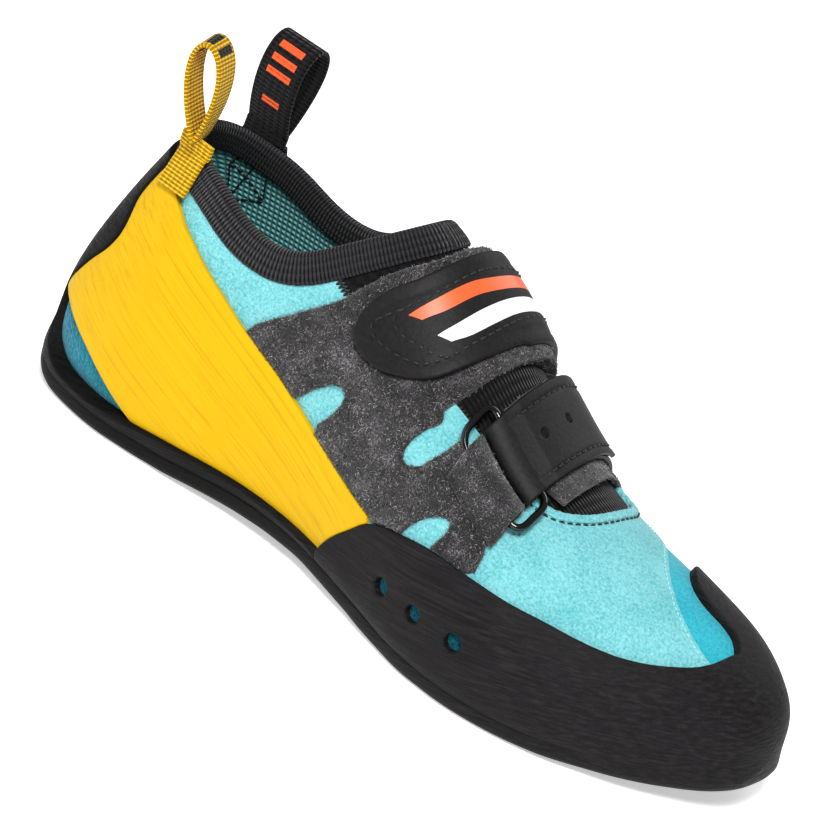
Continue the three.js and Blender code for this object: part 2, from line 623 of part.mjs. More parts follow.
// The ring is a rectangle of round wire with bent corners, curved to the form.
function buckleRing() {
  const half = (RING_LENGTH - RING_WIRE) / 2 - RING_CORNER;
  const rise = HALF_BARS - RING_CORNER;
  const corner = (u, v, start) => evenly(start, start + 90, FOLD_PITCH).map((angle) => [
    u + RING_CORNER * Math.cos(degrees(angle)),
    v + RING_CORNER * Math.sin(degrees(angle)),
  ]);
  const path = [
    ...corner(half, rise, 0),
    ...evenly(half / 2, -half / 2, half / 2).map((u) => [u, HALF_BARS]),
    ...corner(-half, rise, 90),
    ...corner(-half, -rise, 180),
    ...evenly(-half / 2, half / 2, half / 2).map((u) => [u, -HALF_BARS]),
    ...corner(half, -rise, 270),
  ];
  const centre = path.map(([u, v]) => {
    const turn = RING_TURN + v / perDegree;
    const station = RING_STATION + u / perStation + slantAt(turn);
    return { at: onForm(station, turn, RING_LEVEL), up: onForm(station, turn, RING_LEVEL + 1) };
  });
  const points = centre.flatMap(({ at, up }, i) => {
    const before = centre[(i + centre.length - 1) % centre.length].at;
    const after = centre[(i + 1) % centre.length].at;
    const normal = unit(add(up, at, -1));
    const side = unit(cross(add(after, before, -1), normal));
    return Array.from({ length: WIRE_COUNT }, (_, k) => {
      const a = (2 * Math.PI * k) / WIRE_COUNT;
      return add(add(at, side, (RING_WIRE / 2) * Math.cos(a)), normal, (RING_WIRE / 2) * Math.sin(a));
    });
  });
  return solid(points, skin([...centre.map((_, k) => k * WIRE_COUNT), 0], WIRE_COUNT));
}

// Webbing along a path: each stop has a point and the direction of the webbing's width.
function ribbon(stops, closed) {
  const count = stops.length;
  const points = stops.flatMap(({ at, width }, i) => {
    const before = stops[closed ? (i + count - 1) % count : Math.max(i - 1, 0)].at;
    const after = stops[closed ? (i + 1) % count : Math.min(i + 1, count - 1)].at;
    const across = unit(width);
    const out = unit(cross(add(after, before, -1), across));
    return [[-1, -1], [1, -1], [1, 1], [-1, 1]].map(([u, v]) => add(
      add(at, across, (u * LOOP_WIDTH) / 2),
      out,
      (v * LOOP_WEBBING) / 2,
    ));
  });
  const starts = stops.map((_, k) => k * 4);
  if (closed) return solid(points, skin([...starts, 0], 4));
  const end = starts.at(-1);
  return solid(points, [
    ...skin(starts, 4),
    [0, 2, 1], [0, 3, 2],
    [end, end + 1, end + 2], [end, end + 2, end + 3],
  ]);
}
function pullLoop({ side, station, turn, facing, bulge, lean }) {
  const away = CLEARANCE + RAND + CLEARANCE + LOOP_WEBBING / 2;
  const turned = (angle) => (side < 0 ? angle : 180 - angle);
  const tail = Array.from({ length: 5 }, (_, i) => {
    const angle = turned(turn + (LOOP_TAIL * i) / 4);
    const width = add(surface(station + NUDGE, angle), surface(station - NUDGE, angle), -1);
    return { at: onForm(station, angle, away), width };
  });
  tail.push({ at: add(tail.at(-1).at, [0, 0, LOOP_STAND]), width: tail.at(-1).width });
  const foot = tail.at(-1).at;
  const spread = unit(cross([0, 0, 1], facing));
  const drop = Array.from({ length: LOOP_STEPS }, (_, i) => {
    const a = (2 * Math.PI * i) / LOOP_STEPS;
    const rise = (1 - Math.cos(a)) / 2;
    const out = -bulge * Math.sin(a) * Math.sqrt(rise) * TEARDROP;
    const up = add([0, 0, LOOP_HEIGHT * rise], lean, LOOP_HEIGHT * rise);
    return { at: add(add(foot, up), spread, out), width: facing };
  });
  return ribbon(drop, true).add(ribbon(tail, false));
}

function named(name, body, colour, roughness = 0.8, metalness = 0) {
  const mesh = body.getMesh();
  const geometry = new THREE.BufferGeometry();
  geometry.setAttribute('position', new THREE.BufferAttribute(new Float32Array(mesh.vertProperties), 3));
  geometry.setIndex(new THREE.BufferAttribute(new Uint32Array(mesh.triVerts), 1));
  geometry.computeVertexNormals();
  const material = new THREE.MeshStandardMaterial({ color: colour, roughness, metalness });
  const node = new THREE.Mesh(geometry, material);
  node.name = name;
  return node;
}

const shoe = new THREE.Group();
shoe.name = 'climbing_shoe';
shoe.add(
  named('outsole', outsole(), COLOURS.rubber, 0.7),
  named('upper', upper(), COLOURS.leather, 0.95),
  named('tongue', tongue(), COLOURS.elastic, 0.9),
  named('insole', insole(), COLOURS.insole, 0.9),
  named('toe_rand', rand(), COLOURS.rubber, 0.7),
  named('heel_rand', heelRand(), COLOURS.rubber, 0.7),
  named('band_outer', band(-1), COLOURS.band, 0.6),
  named('band_inner', band(1), COLOURS.band, 0.6),
  named('collar_binding', binding(), COLOURS.binding, 0.9),
  named('felt_panel', feltPanel(), COLOURS.felt, 1),
  named('rear_strap', rearStrap(), COLOURS.strap, 0.6),
  named('front_strap', frontStrap(), COLOURS.strap, 0.6),
  named('front_strap_felt', frontStrapFelt(), COLOURS.felt, 1),
  named('ring_tab', ringTab(), COLOURS.felt, 1),
  named('buckle_ring', buckleRing(), COLOURS.wire, 0.35, 0.9),
  ...LOOPS.map((loop) => named(
    loop.name,
    pullLoop(loop),
    loop.side < 0 ? COLOURS.outerLoop : COLOURS.innerLoop,
    0.85,
  )),
);

export default shoe;
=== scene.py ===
"""Looks of the climbing shoe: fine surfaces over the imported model, their finishes, floor, light and camera.

The shoe's forms are worked out from one table of sections, in millimetres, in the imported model's frame:
+X to the toe, +Y to the inner side, +Z up. A place on the form is a row number of the table and an
angle round the section: 0 on the outer side, 90 on top, 180 on the inner side, 270 below.
"""
import math
from collections import namedtuple

import bpy
import numpy as np
from mathutils import Matrix, Vector
from mathutils.bvhtree import BVHTree


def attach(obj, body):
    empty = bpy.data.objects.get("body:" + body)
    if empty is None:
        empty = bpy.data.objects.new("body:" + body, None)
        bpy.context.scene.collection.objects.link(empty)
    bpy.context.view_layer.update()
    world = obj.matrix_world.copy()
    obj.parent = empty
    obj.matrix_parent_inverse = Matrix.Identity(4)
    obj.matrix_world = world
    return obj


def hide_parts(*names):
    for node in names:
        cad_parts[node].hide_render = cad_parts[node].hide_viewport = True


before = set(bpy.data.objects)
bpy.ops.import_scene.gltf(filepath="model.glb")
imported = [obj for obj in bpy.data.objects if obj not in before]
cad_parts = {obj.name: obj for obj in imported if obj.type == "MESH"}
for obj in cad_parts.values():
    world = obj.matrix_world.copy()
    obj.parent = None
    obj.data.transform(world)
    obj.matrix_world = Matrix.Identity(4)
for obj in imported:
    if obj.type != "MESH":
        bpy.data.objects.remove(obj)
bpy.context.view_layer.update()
MM = 0.001

# Sizes of the shoe
FORM_LENGTH = 243.0
BALL_WIDTH = 82.0
FORM_HEIGHT = 110.0
HEEL_SEAT = 33.0
WALL = 1.8
CLEARANCE = 0.3
SOLE = 4.5
SOLE_LIP = 1.0
INSOLE = 1.5
RAND = 2.0
BAND = 1.6
FELT = 1.5
STRAP = 1.6
BINDING = 1.2
BINDING_WIDTH = 7.5
VENT = 5.0
STRAP_WIDTH = 24.0
RING_LENGTH = 34.0
RING_WIDTH = 14.4
RING_WIRE = 2.2
RING_CORNER = 3.6
RING_STATION = 9.93
FOLD_ROOM = 0.5
LAY = 0.45
FELT_SHOWN = 7.5          # felt past the front edge of the front strap
RAND_CORNER = 8.0
PITCH = 1.2              # grid of the fine surfaces

# Sections of the leather form, as shares of its length, width and height:
# along, line, outer, inner, girth, rise, base, roundness above, roundness below
LAST = np.array([
    [0.000, 0.000, 0.000, 0.000, 0.205, 0.000, 0.205, 2.0, 2.2],
    [0.004, 0.000, 0.159, 0.159, 0.205, 0.136, 0.095, 1.9, 2.4],
    [0.019, 0.000, 0.268, 0.268, 0.205, 0.264, 0.032, 1.8, 3.0],
    [0.041, 0.000, 0.317, 0.317, 0.205, 0.436, 0.005, 1.6, 3.6],
    [0.082, 0.000, 0.360, 0.360, 0.195, 0.645, 0.000, 1.45, 4.2],
    [0.148, 0.000, 0.390, 0.390, 0.186, 0.759, 0.000, 1.45, 4.5],
    [0.239, 0.012, 0.384, 0.384, 0.186, 0.764, 0.009, 1.5, 4.5],
    [0.342, 0.037, 0.372, 0.390, 0.205, 0.695, 0.028, 1.7, 4.5],
    [0.436, 0.049, 0.402, 0.421, 0.214, 0.591, 0.035, 1.9, 4.5],
    [0.535, 0.061, 0.476, 0.433, 0.195, 0.468, 0.020, 2.0, 4.5],
    [0.634, 0.073, 0.555, 0.433, 0.159, 0.359, 0.003, 2.0, 4.5],
    [0.724, 0.091, 0.573, 0.421, 0.132, 0.300, 0.000, 2.0, 4.5],
    [0.815, 0.116, 0.518, 0.396, 0.123, 0.259, 0.006, 2.0, 4.5],
    [0.897, 0.140, 0.390, 0.335, 0.123, 0.207, 0.019, 2.05, 4.5],
    [0.955, 0.140, 0.238, 0.232, 0.123, 0.150, 0.034, 2.2, 4.0],
    [0.988, 0.134, 0.128, 0.128, 0.123, 0.091, 0.050, 2.3, 3.2],
    [1.000, 0.134, 0.000, 0.000, 0.123, 0.000, 0.123, 2.0, 2.6],
])

# Outlines in side view, as shares of the form's length and of its height above the sole
RIM = [
    [-0.030, 0.745], [0.062, 0.732], [0.107, 0.707], [0.136, 0.694], [0.165, 0.675], [0.198, 0.649],
    [0.226, 0.635], [0.255, 0.633], [0.280, 0.646], [0.305, 0.679], [0.329, 0.725], [0.354, 0.774],
    [0.383, 0.832], [0.430, 0.930],
]
HEEL_EDGE = [
    [0.110, 0.980], [0.091, 0.741], [0.074, 0.659], [0.062, 0.577], [0.059, 0.532], [0.063, 0.486],
    [0.064, 0.445], [0.057, 0.395], [0.039, 0.332], [0.026, 0.277], [0.018, 0.230], [0.021, 0.150],
    [0.025, 0.106], [0.035, 0.074], [0.053, 0.052], [0.086, 0.043], [0.144, 0.046], [0.189, 0.054],
    [0.239, 0.065], [0.321, 0.073], [0.403, 0.074], [0.477, 0.066],
]
RAND_EDGE = [
    [0.477, 0.066], [0.490, 0.123], [0.510, 0.177], [0.539, 0.243], [0.582, 0.273], [0.620, 0.288],
    [0.679, 0.284], [0.728, 0.276], [0.774, 0.273], [0.819, 0.267], [0.856, 0.266], [0.893, 0.277],
    [0.918, 0.295], [0.926, 0.323], [1.100, 0.340],
]
BAND_EDGE = [
    [0.570, 0.215], [0.539, 0.243], [0.488, 0.268], [0.428, 0.306], [0.370, 0.355], [0.317, 0.399],
    [0.266, 0.441], [0.226, 0.479], [0.192, 0.512], [0.160, 0.548], [0.136, 0.574], [0.117, 0.600],
    [0.075, 0.650], [-0.030, 0.660], [-0.030, 0.240], [0.018, 0.230], [0.037, 0.209], [0.067, 0.177],
    [0.102, 0.143], [0.140, 0.103], [0.165, 0.076], [0.193, 0.045], [0.193, -0.050], [0.570, -0.050],
]
FELT_EDGE = [
    [0.263, 0.414], [0.272, 0.443], [0.317, 0.538], [0.365, 0.643], [0.377, 0.689], [0.394, 0.741],
    [0.411, 0.779], [0.424, 0.810], [0.440, 0.980], [0.551, 0.980], [0.546, 0.632], [0.544, 0.593],
    [0.537, 0.545], [0.543, 0.527], [0.568, 0.512], [0.640, 0.400], [0.671, 0.345], [0.675, 0.327],
    [0.681, 0.270], [0.609, 0.232], [0.539, 0.205], [0.403, 0.286],
]
FELT_INNER_EDGE = [
    [0.440, 0.980], [0.424, 0.800], [0.416, 0.686], [0.409, 0.541], [0.412, 0.405], [0.469, 0.368],
    [0.530, 0.345], [0.538, 0.505], [0.546, 0.632], [0.551, 0.980],
]
FLAP_EDGE = [
    [0.453, 0.980], [0.434, 0.803], [0.422, 0.751], [0.404, 0.702], [0.395, 0.650], [0.394, 0.609],
    [0.402, 0.573], [0.420, 0.553], [0.447, 0.546], [0.484, 0.564], [0.507, 0.589], [0.523, 0.636],
    [0.531, 0.677], [0.538, 0.980],
]
FLAP_INNER_EDGE = [
    [0.453, 0.980], [0.434, 0.800], [0.424, 0.686], [0.417, 0.541], [0.420, 0.418], [0.469, 0.385],
    [0.522, 0.361], [0.528, 0.505], [0.532, 0.640], [0.538, 0.980],
]
HEEL_STRIP_END = 0.477
BAND_FRONT = 0.6
PAST_TOE = 1.1
# Outlines in plan, as shares of the form's length and of the ball's width
THROAT = [
    [0.337, -0.211], [0.370, -0.222], [0.444, -0.232], [0.568, -0.213], [0.650, -0.171],
    [0.687, -0.128], [0.705, -0.054], [0.714, 0.030], [0.717, 0.134], [0.714, 0.232], [0.700, 0.317],
    [0.650, 0.348], [0.568, 0.341], [0.486, 0.317], [0.403, 0.287], [0.337, 0.256],
]
TOE_PATCH = [
    [1.100, 0.073], [0.930, 0.073], [0.920, 0.116], [0.907, 0.150], [0.891, 0.159], [0.861, 0.151],
    [0.837, 0.171], [0.822, 0.210], [0.806, 0.290], [0.798, 0.378], [0.790, 0.520], [0.790, 0.900],
    [1.100, 0.900],
]
# The sole's underside: share of the length, and lift as a share of the form's height
TREAD = np.array([
    [-0.005, 0.082], [0.004, 0.059], [0.019, 0.029], [0.041, 0.008], [0.074, 0.000], [0.206, 0.000],
    [0.288, 0.015], [0.383, 0.028], [0.477, 0.023], [0.568, 0.007], [0.634, 0.000], [0.774, 0.000],
    [0.848, 0.010], [0.914, 0.029], [0.963, 0.049], [0.996, 0.070], [1.010, 0.082],
])
# Openings in the felt: along, level, half length and half width as shares of the ball's width, tilt
FELT_WINDOWS = [
    [0.396, 0.377, 0.130, 0.058, 52],
    [0.549, 0.471, 0.092, 0.052, 60],
    [0.603, 0.303, 0.095, 0.046, 52],
]
VENTS = [[0.588, 0.133], [0.642, 0.137], [0.700, 0.140]]
FAR = 300.0
LAST_ROW = len(LAST) - 1


def x_at(along):
    """Place along the shoe in mm of a share of its length."""
    return along * FORM_LENGTH - HEEL_SEAT


def z_at(level):
    """Height in mm of a share of the form's height."""
    return SOLE + level * FORM_HEIGHT


def side_view(shares):
    """Side view places in mm from shares of length and height."""
    shares = np.asarray(shares, float)
    return np.stack([x_at(shares[:, 0]), z_at(shares[:, 1])], 1)


def plan_view(shares):
    """Plan places in mm from shares of length and ball width."""
    shares = np.asarray(shares, float)
    return np.stack([x_at(shares[:, 0]), shares[:, 1] * BALL_WIDTH], 1)


def unit(vectors):
    """Vectors over their length, row by row."""
    return vectors / np.maximum(np.linalg.norm(vectors, axis=-1, keepdims=True), 1e-12)


def lengths(path):
    """The length along a path up to each of its places, from 0."""
    return np.concatenate([[0], np.cumsum(np.linalg.norm(np.diff(path, axis=0), axis=1))])


def read_off(values, length, want):
    """The columns of an array, read off at other lengths along its path."""
    return np.stack([np.interp(want, length, column) for column in values.T], 1)


def extended(table):
    """A table with one more row past each end, straight on: 2 * last - the one before."""
    return np.vstack([2 * table[0] - table[1], table, 2 * table[-1] - table[-2]])


def softened(line):
    """A closed line, each place moved to (before + 2 * itself + after) / 4."""
    return (np.roll(line, 1, 0) + 2 * line + np.roll(line, -1, 0)) / 4


def evenly_turned(count):
    """Angles in radians that go once round in even steps."""
    return np.arange(count) * 2 * np.pi / count


def table_in_mm():
    """Columns x, line, outer, inner, girth, rise, drop, top and bottom roundness; with a row added
    past each end in which widths and heights change sign, so that the ends close round."""
    along, line, outer, inner, girth, rise, base, top, bottom = LAST.T
    rows = np.stack([
        x_at(along), line * BALL_WIDTH, outer * BALL_WIDTH, inner * BALL_WIDTH, z_at(girth),
        rise * FORM_HEIGHT, (girth - base) * FORM_HEIGHT, top, bottom,
    ], 1)
    signs = np.array([1, 1, -1, -1, 1, -1, -1, 1, 1])
    return np.vstack([rows[1] * signs, rows, rows[-2] * signs])


FORM_TABLE = table_in_mm()


def through_rows(table, row):
    """Catmull-Rom curve through the rows of a table that has one more row past each end."""
    row = np.clip(row, 0, len(table) - 3 - 1e-9)
    first = np.floor(row).astype(int)
    f = (row - first)[..., None]
    a, b, c, d = (table[first + k] for k in range(4))
    return 0.5 * (2 * b + (c - a) * f + (2 * a - 5 * b + 4 * c - d) * f**2 + (3 * b - a - 3 * c + d) * f**3)


def form_point(row, angle, corner=0.0):
    """A superellipse of the section at `row`, met by the ray at `angle` degrees from its middle."""
    row, angle = np.broadcast_arrays(np.asarray(row, float), np.asarray(angle, float))
    x, line, outer, inner, girth, rise, drop, top, bottom = np.moveaxis(through_rows(FORM_TABLE, row), -1, 0)
    c, s = np.cos(np.radians(angle)), np.sin(np.radians(angle))
    roundness = np.where(s >= 0, top, np.maximum(bottom, corner))
    reach = (np.abs(c) ** roundness + np.abs(s) ** roundness) ** (-1 / roundness)
    across = reach * c * np.where(c >= 0, outer, inner)
    return np.stack([x, line - across, girth + reach * s * np.where(s >= 0, rise, drop)], -1)


def form_normal(row, angle, corner=0.0):
    """Cross product of the form's two directions, from places a little to each side."""
    row, angle = np.broadcast_arrays(np.asarray(row, float), np.asarray(angle, float))
    ahead, behind = np.minimum(row + 0.02, LAST_ROW - 0.005), np.maximum(row - 0.02, 0.005)
    along = form_point(ahead, angle, corner) - form_point(behind, angle, corner)
    around = form_point(row, angle + 0.5, corner) - form_point(row, angle - 0.5, corner)
    return unit(np.cross(along, around))


def on_form(row, turn, away):
    """A place `away` mm off the form. `turn` is the ellipse's own parameter, which the straps are laid
    out in: its tangent to the power of 2 over the roundness is the tangent of the ray's angle."""
    row, turn, away = np.broadcast_arrays(*(np.asarray(v, float) for v in (row, turn, away)))
    top = through_rows(FORM_TABLE, row)[..., 7]
    c, s = np.cos(np.radians(turn)), np.sin(np.radians(turn))
    angle = np.degrees(np.arctan2(np.abs(s) ** (2 / top), np.sign(c) * np.abs(c) ** (2 / top)))
    return form_point(row, angle) + form_normal(row, angle) * away[..., None]


Sheet = namedtuple("Sheet", "points normals faces")


def form_sheet(first=0.0, last=float(LAST_ROW), corner=0.0, away=0.0, pitch=PITCH):
    """A grid over the form between two rows, cells about `pitch` wide, closed to a point at the ends."""
    around = np.arange(0, 360, 30)
    knots = np.unique(np.concatenate([[first, last], np.arange(math.ceil(first), last)]))
    rows = []
    for low, high in zip(knots[:-1], knots[1:]):
        gap = np.linalg.norm(form_point(high, around, corner) - form_point(low, around, corner), axis=1).max()
        rows.append(np.linspace(low, high, max(2, math.ceil(gap / pitch)), endpoint=False))
    rows = np.append(np.concatenate(rows), last)
    closed = [first <= 0, last >= LAST_ROW]
    rows = rows[closed[0]:len(rows) - closed[1]]
    count = math.ceil(250 / pitch)
    angles = np.arange(count) * 360 / count
    row, angle = np.meshgrid(rows, angles, indexing="ij")
    normals = form_normal(row, angle, corner).reshape(-1, 3)
    points = form_point(row, angle, corner).reshape(-1, 3) + normals * away
    i, j = np.meshgrid(np.arange(len(rows) - 1), np.arange(count), indexing="ij")
    a, b = i * count + j, i * count + (j + 1) % count
    c, d = a + count, b + count
    faces = [np.stack([a, c, d], -1).reshape(-1, 3), np.stack([a, d, b], -1).reshape(-1, 3)]
    ring = np.arange(count)
    for is_end, place, start, direction in (
        (closed[0], 0.0, 0, -1), (closed[1], float(LAST_ROW), (len(rows) - 1) * count, 1),
    ):
        if is_end:
            tip = len(points)
            points = np.vstack([points, form_point(place, 0) + [[direction * away, 0, 0]]])
            normals = np.vstack([normals, [[direction, 0, 0]]])
            one, two = start + ring, start + (ring + 1) % count
            pair = (one, two) if direction > 0 else (two, one)
            faces.append(np.stack([np.full(count, tip), pair[0], pair[1]], 1)[:, [0, 2, 1]])
    faces = np.concatenate(faces)
    flip = np.einsum("ij,ij->i", np.cross(points[faces[:, 1]] - points[faces[:, 0]],
                                          points[faces[:, 2]] - points[faces[:, 0]]),
                     normals[faces].mean(1)) < 0
    faces[flip] = faces[flip][:, [0, 2, 1]]
    return Sheet(points, normals, faces)


def smooth_outline(corners, sharp=50, step=2.5):
    """A closed outline through its corners: Hermite arcs whose tangents halve each corner's turn, but
    straight into every corner that turns more than `sharp` degrees."""
    corners = np.asarray(corners, float)
    ahead = unit(np.roll(corners, -1, 0) - corners)
    behind = np.roll(ahead, 1, 0)
    turn = np.degrees(np.arccos(np.clip((ahead * behind).sum(1), -1, 1)))
    middle = unit(ahead + behind)
    pieces = []
    for i, start in enumerate(corners):
        j = (i + 1) % len(corners)
        end = corners[j]
        length = np.linalg.norm(end - start)
        leave = ahead[i] if turn[i] > sharp else middle[i]
        arrive = ahead[i] if turn[j] > sharp else middle[j]
        t = np.linspace(0, 1, max(2, math.ceil(min(length, 60) / step)) + 1)[:-1, None]
        pieces.append(
            (2 * t**3 - 3 * t**2 + 1) * start + (t**3 - 2 * t**2 + t) * leave * length
            + (-2 * t**3 + 3 * t**2) * end + (t**3 - t**2) * arrive * length
        )
    return np.concatenate(pieces)


def outline_field(outline, axes=(0, 2)):
    """Signed distance to a closed outline drawn in side view or plan, positive inside. It is divided by
    its slope on the surface, so that it is the distance along the surface near the outline."""
    start = np.asarray(outline, float)
    edge = np.roll(start, -1, 0) - start
    length2 = np.maximum((edge**2).sum(1), 1e-9)

    def field(points, normals):
        distance = np.empty(len(points))
        slope = np.zeros((len(points), 3))
        for low in range(0, len(points), 8000):
            p = points[low:low + 8000][:, axes][:, None, :]
            t = np.clip(((p - start) * edge).sum(2) / length2, 0, 1)
            away = p - (start + t[..., None] * edge)
            near = (away**2).sum(2)
            k = near.argmin(1)
            pick = np.arange(len(k))
            end = start + edge
            above = (start[:, 1] > p[..., 1]) != (end[:, 1] > p[..., 1])
            rise = np.where(edge[:, 1] == 0, 1e-12, edge[:, 1])
            cross = start[:, 0] + edge[:, 0] * (p[..., 1] - start[:, 1]) / rise
            inside = (above & (p[..., 0] < cross)).sum(1) % 2 == 1
            sign = np.where(inside, 1.0, -1.0)
            distance[low:low + 8000] = sign * np.sqrt(near[pick, k])
            slope[low:low + 8000, axes] = unit(away[pick, k] * sign[:, None])
        slope -= normals * (slope * normals).sum(1, keepdims=True)
        steep = np.linalg.norm(slope, axis=1)
        return distance / np.maximum(steep, 0.25), unit(slope)

    return field


def both(*fields):
    """Inside every one of the fields: the least of them."""
    def field(points, normals):
        found = [f(points, normals) for f in fields]
        values = np.stack([v for v, _ in found])
        k = values.argmin(0)
        pick = np.arange(len(k))
        return values[k, pick], np.stack([s for _, s in found])[k, pick]
    return field


def without(inner):
    """Outside a field: its value turned round."""
    def field(points, normals):
        value, slope = inner(points, normals)
        return -value, -slope
    return field


def either(*fields):
    """Inside at least one of the fields."""
    return without(both(*[without(f) for f in fields]))


def moved(inner, distance):
    """A field whose outline moves outwards by a distance."""
    def field(points, normals):
        value, slope = inner(points, normals)
        return value + distance, slope
    return field


def by_side(outer, inner, middle=0.0):
    """One field on the outer side of a lengthwise line and another on the inner side."""
    def field(points, normals):
        on_outer = points[:, 1] < middle
        value_o, slope_o = outer(points, normals)
        value_i, slope_i = inner(points, normals)
        return np.where(on_outer, value_o, value_i), np.where(on_outer[:, None], slope_o, slope_i)
    return field


def clipped(sheet, field, level=0.0):
    """The part of a sheet where the field is over a level. Points within a quarter of a cell of the
    line are first slid onto it, and every triangle across the line is cut on it."""
    value, slope = field(sheet.points, sheet.normals)
    value = value - level
    near = np.abs(value) < 0.25 * PITCH
    points = sheet.points - np.where(near, value, 0)[:, None] * slope
    value = np.where(near, 0.0, value)
    kept = value >= 0
    faces = sheet.faces[(value[sheet.faces] > 0).any(1)]
    inside = kept[faces].sum(1)
    whole = faces[inside == 3]

    def turned(some, odd):
        k = odd.argmax(1)[:, None]
        return np.take_along_axis(some, (k + np.arange(3)) % 3, 1)

    one = turned(faces[inside == 1], kept[faces[inside == 1]])
    two = turned(faces[inside == 2], ~kept[faces[inside == 2]])
    cuts = np.concatenate([one[:, [0, 1]], one[:, [0, 2]], two[:, [0, 1]], two[:, [0, 2]]])
    low_high = np.sort(cuts, 1)
    edges, which = np.unique(low_high, axis=0, return_inverse=True)
    i, j = edges.T
    share = (value[i] / (value[i] - value[j]))[:, None]
    new_index = len(points) + np.arange(len(edges))
    on_line = np.where(value[i] == 0, i, np.where(value[j] == 0, j, -1))
    new_index = np.where(on_line >= 0, on_line, new_index)[which.ravel()]

    def between(values):
        return values[i] + (values[j] - values[i]) * share

    points = np.vstack([points, between(points)])
    normals = np.vstack([sheet.normals, unit(between(sheet.normals))])
    slope = np.vstack([slope, unit(between(slope))])
    n1, n2 = len(one), len(two)
    ab1, ac1 = new_index[:n1], new_index[n1:2 * n1]
    ab2, ac2 = new_index[2 * n1:2 * n1 + n2], new_index[2 * n1 + n2:]
    cut = np.concatenate([
        np.stack([one[:, 0], ab1, ac1], 1),
        np.stack([ab2, two[:, 1], two[:, 2]], 1),
        np.stack([ab2, two[:, 2], ac2], 1),
    ])
    cut = cut[(cut[:, 0] != cut[:, 1]) & (cut[:, 1] != cut[:, 2]) & (cut[:, 2] != cut[:, 0])]
    faces = np.concatenate([whole, cut])
    used, faces = np.unique(faces, return_inverse=True)
    faces = faces.reshape(-1, 3)
    return points[used], normals[used], slope[used], faces


def open_edges(faces):
    """Directed edges of the faces that no neighbour runs along the other way."""
    edges = faces[:, [0, 1, 1, 2, 2, 0]].reshape(-1, 2)
    size = faces.max() + 1
    keys = edges[:, 0] * size + edges[:, 1]
    back = edges[:, 1] * size + edges[:, 0]
    return edges[~np.isin(keys, back)]


def raised(sheet, field, low, high, rounding=0.6, relief=None, rows=4):
    """A closed layer between two heights over a sheet, where the field is positive. Its upper edge is a
    quarter round of radius `rounding`, and a wall runs down from that to the underside."""
    points, normals, slope, faces = clipped(sheet, field, rounding)
    height = np.full(len(points), float(high))
    if relief is not None:
        height = height + relief(points, normals)
    rim, edges = np.unique(open_edges(faces), return_inverse=True)
    edges = edges.reshape(-1, 2)
    layers = [points + normals * height[:, None]]
    base, up, out, top = points[rim], normals[rim], -slope[rim], height[rim]
    for angle in np.linspace(0, np.pi / 2, rows + 1)[1:]:
        drop = top - rounding * (1 - np.cos(angle))
        layers.append(base + out * rounding * np.sin(angle) + up * drop[:, None])
    floor = points + normals * low
    floor[rim] += out * rounding
    layers.append(floor)
    starts = np.cumsum([0] + [len(layer) for layer in layers])
    rings = [rim] + [starts[k + 1] + np.arange(len(rim)) for k in range(rows)] + [starts[-2] + rim]
    skirt = [
        np.stack([above[edges[:, 1]], above[edges[:, 0]], below[edges[:, 0]], below[edges[:, 1]]], 1)
        for above, below in zip(rings[:-1], rings[1:])
    ]
    return np.vstack(layers), [faces, np.concatenate(skirt), faces[:, ::-1] + starts[-2]]


def make_piece(name, shape, finishes, stands_for=(), uv=None, finish_of=None, crease=40, shade=None):
    """An object of points in mm and groups of faces, ridden and finished."""
    points, groups = shape
    corners = np.concatenate([g.ravel() for g in groups]).astype(np.int32)
    sizes = np.concatenate([np.full(len(g), g.shape[1]) for g in groups])
    mesh = bpy.data.meshes.new(name)
    mesh.vertices.add(len(points))
    mesh.vertices.foreach_set("co", (np.asarray(points) * MM).astype(np.float32).ravel())
    mesh.loops.add(len(corners))
    mesh.loops.foreach_set("vertex_index", corners)
    mesh.polygons.add(len(sizes))
    mesh.polygons.foreach_set("loop_start", np.concatenate([[0], np.cumsum(sizes)[:-1]]).astype(np.int32))
    mesh.polygons.foreach_set("use_smooth", np.ones(len(sizes), bool))
    if finish_of is not None:
        mesh.polygons.foreach_set("material_index", np.asarray(finish_of, np.int32))
    if uv is not None:
        layer = mesh.uv_layers.new(name="lay")
        layer.data.foreach_set("uv", np.asarray(uv, np.float32)[corners].ravel())
    if shade is not None:
        mesh.attributes.new("shade", "FLOAT", "POINT").data.foreach_set("value", shade.astype(np.float32))
    mesh.update(calc_edges=True)
    mesh.validate()
    mesh.set_sharp_from_angle(angle=math.radians(crease))
    for finish in finishes if isinstance(finishes, list) else [finishes]:
        mesh.materials.append(finish)
    piece = bpy.data.objects.new(name, mesh)
    bpy.context.scene.collection.objects.link(piece)
    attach(piece, "root")
    if stands_for:
        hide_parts(*stands_for)
    return piece


def tube_quads(stops, around, closed=False):
    """Quads between the rings of a tube. The last ring meets the first where the path is closed."""
    i, j = np.meshgrid(np.arange(stops if closed else stops - 1), np.arange(around), indexing="ij")
    after, beside = (i + 1) % stops, (j + 1) % around
    corners = [i * around + j, i * around + beside, after * around + beside, after * around + j]
    return np.stack(corners, -1).reshape(-1, 4)


def circles(count, side, up):
    """Directions round each pair: side * cos(a) + up * sin(a), once round in `count` steps."""
    a = evenly_turned(count)[:, None]
    return np.cos(a) * side[:, None] + np.sin(a) * up[:, None]


def halved(quads):
    """Two triangles for each quad."""
    return np.vstack([quads[:, :3], quads[:, [0, 2, 3]]])


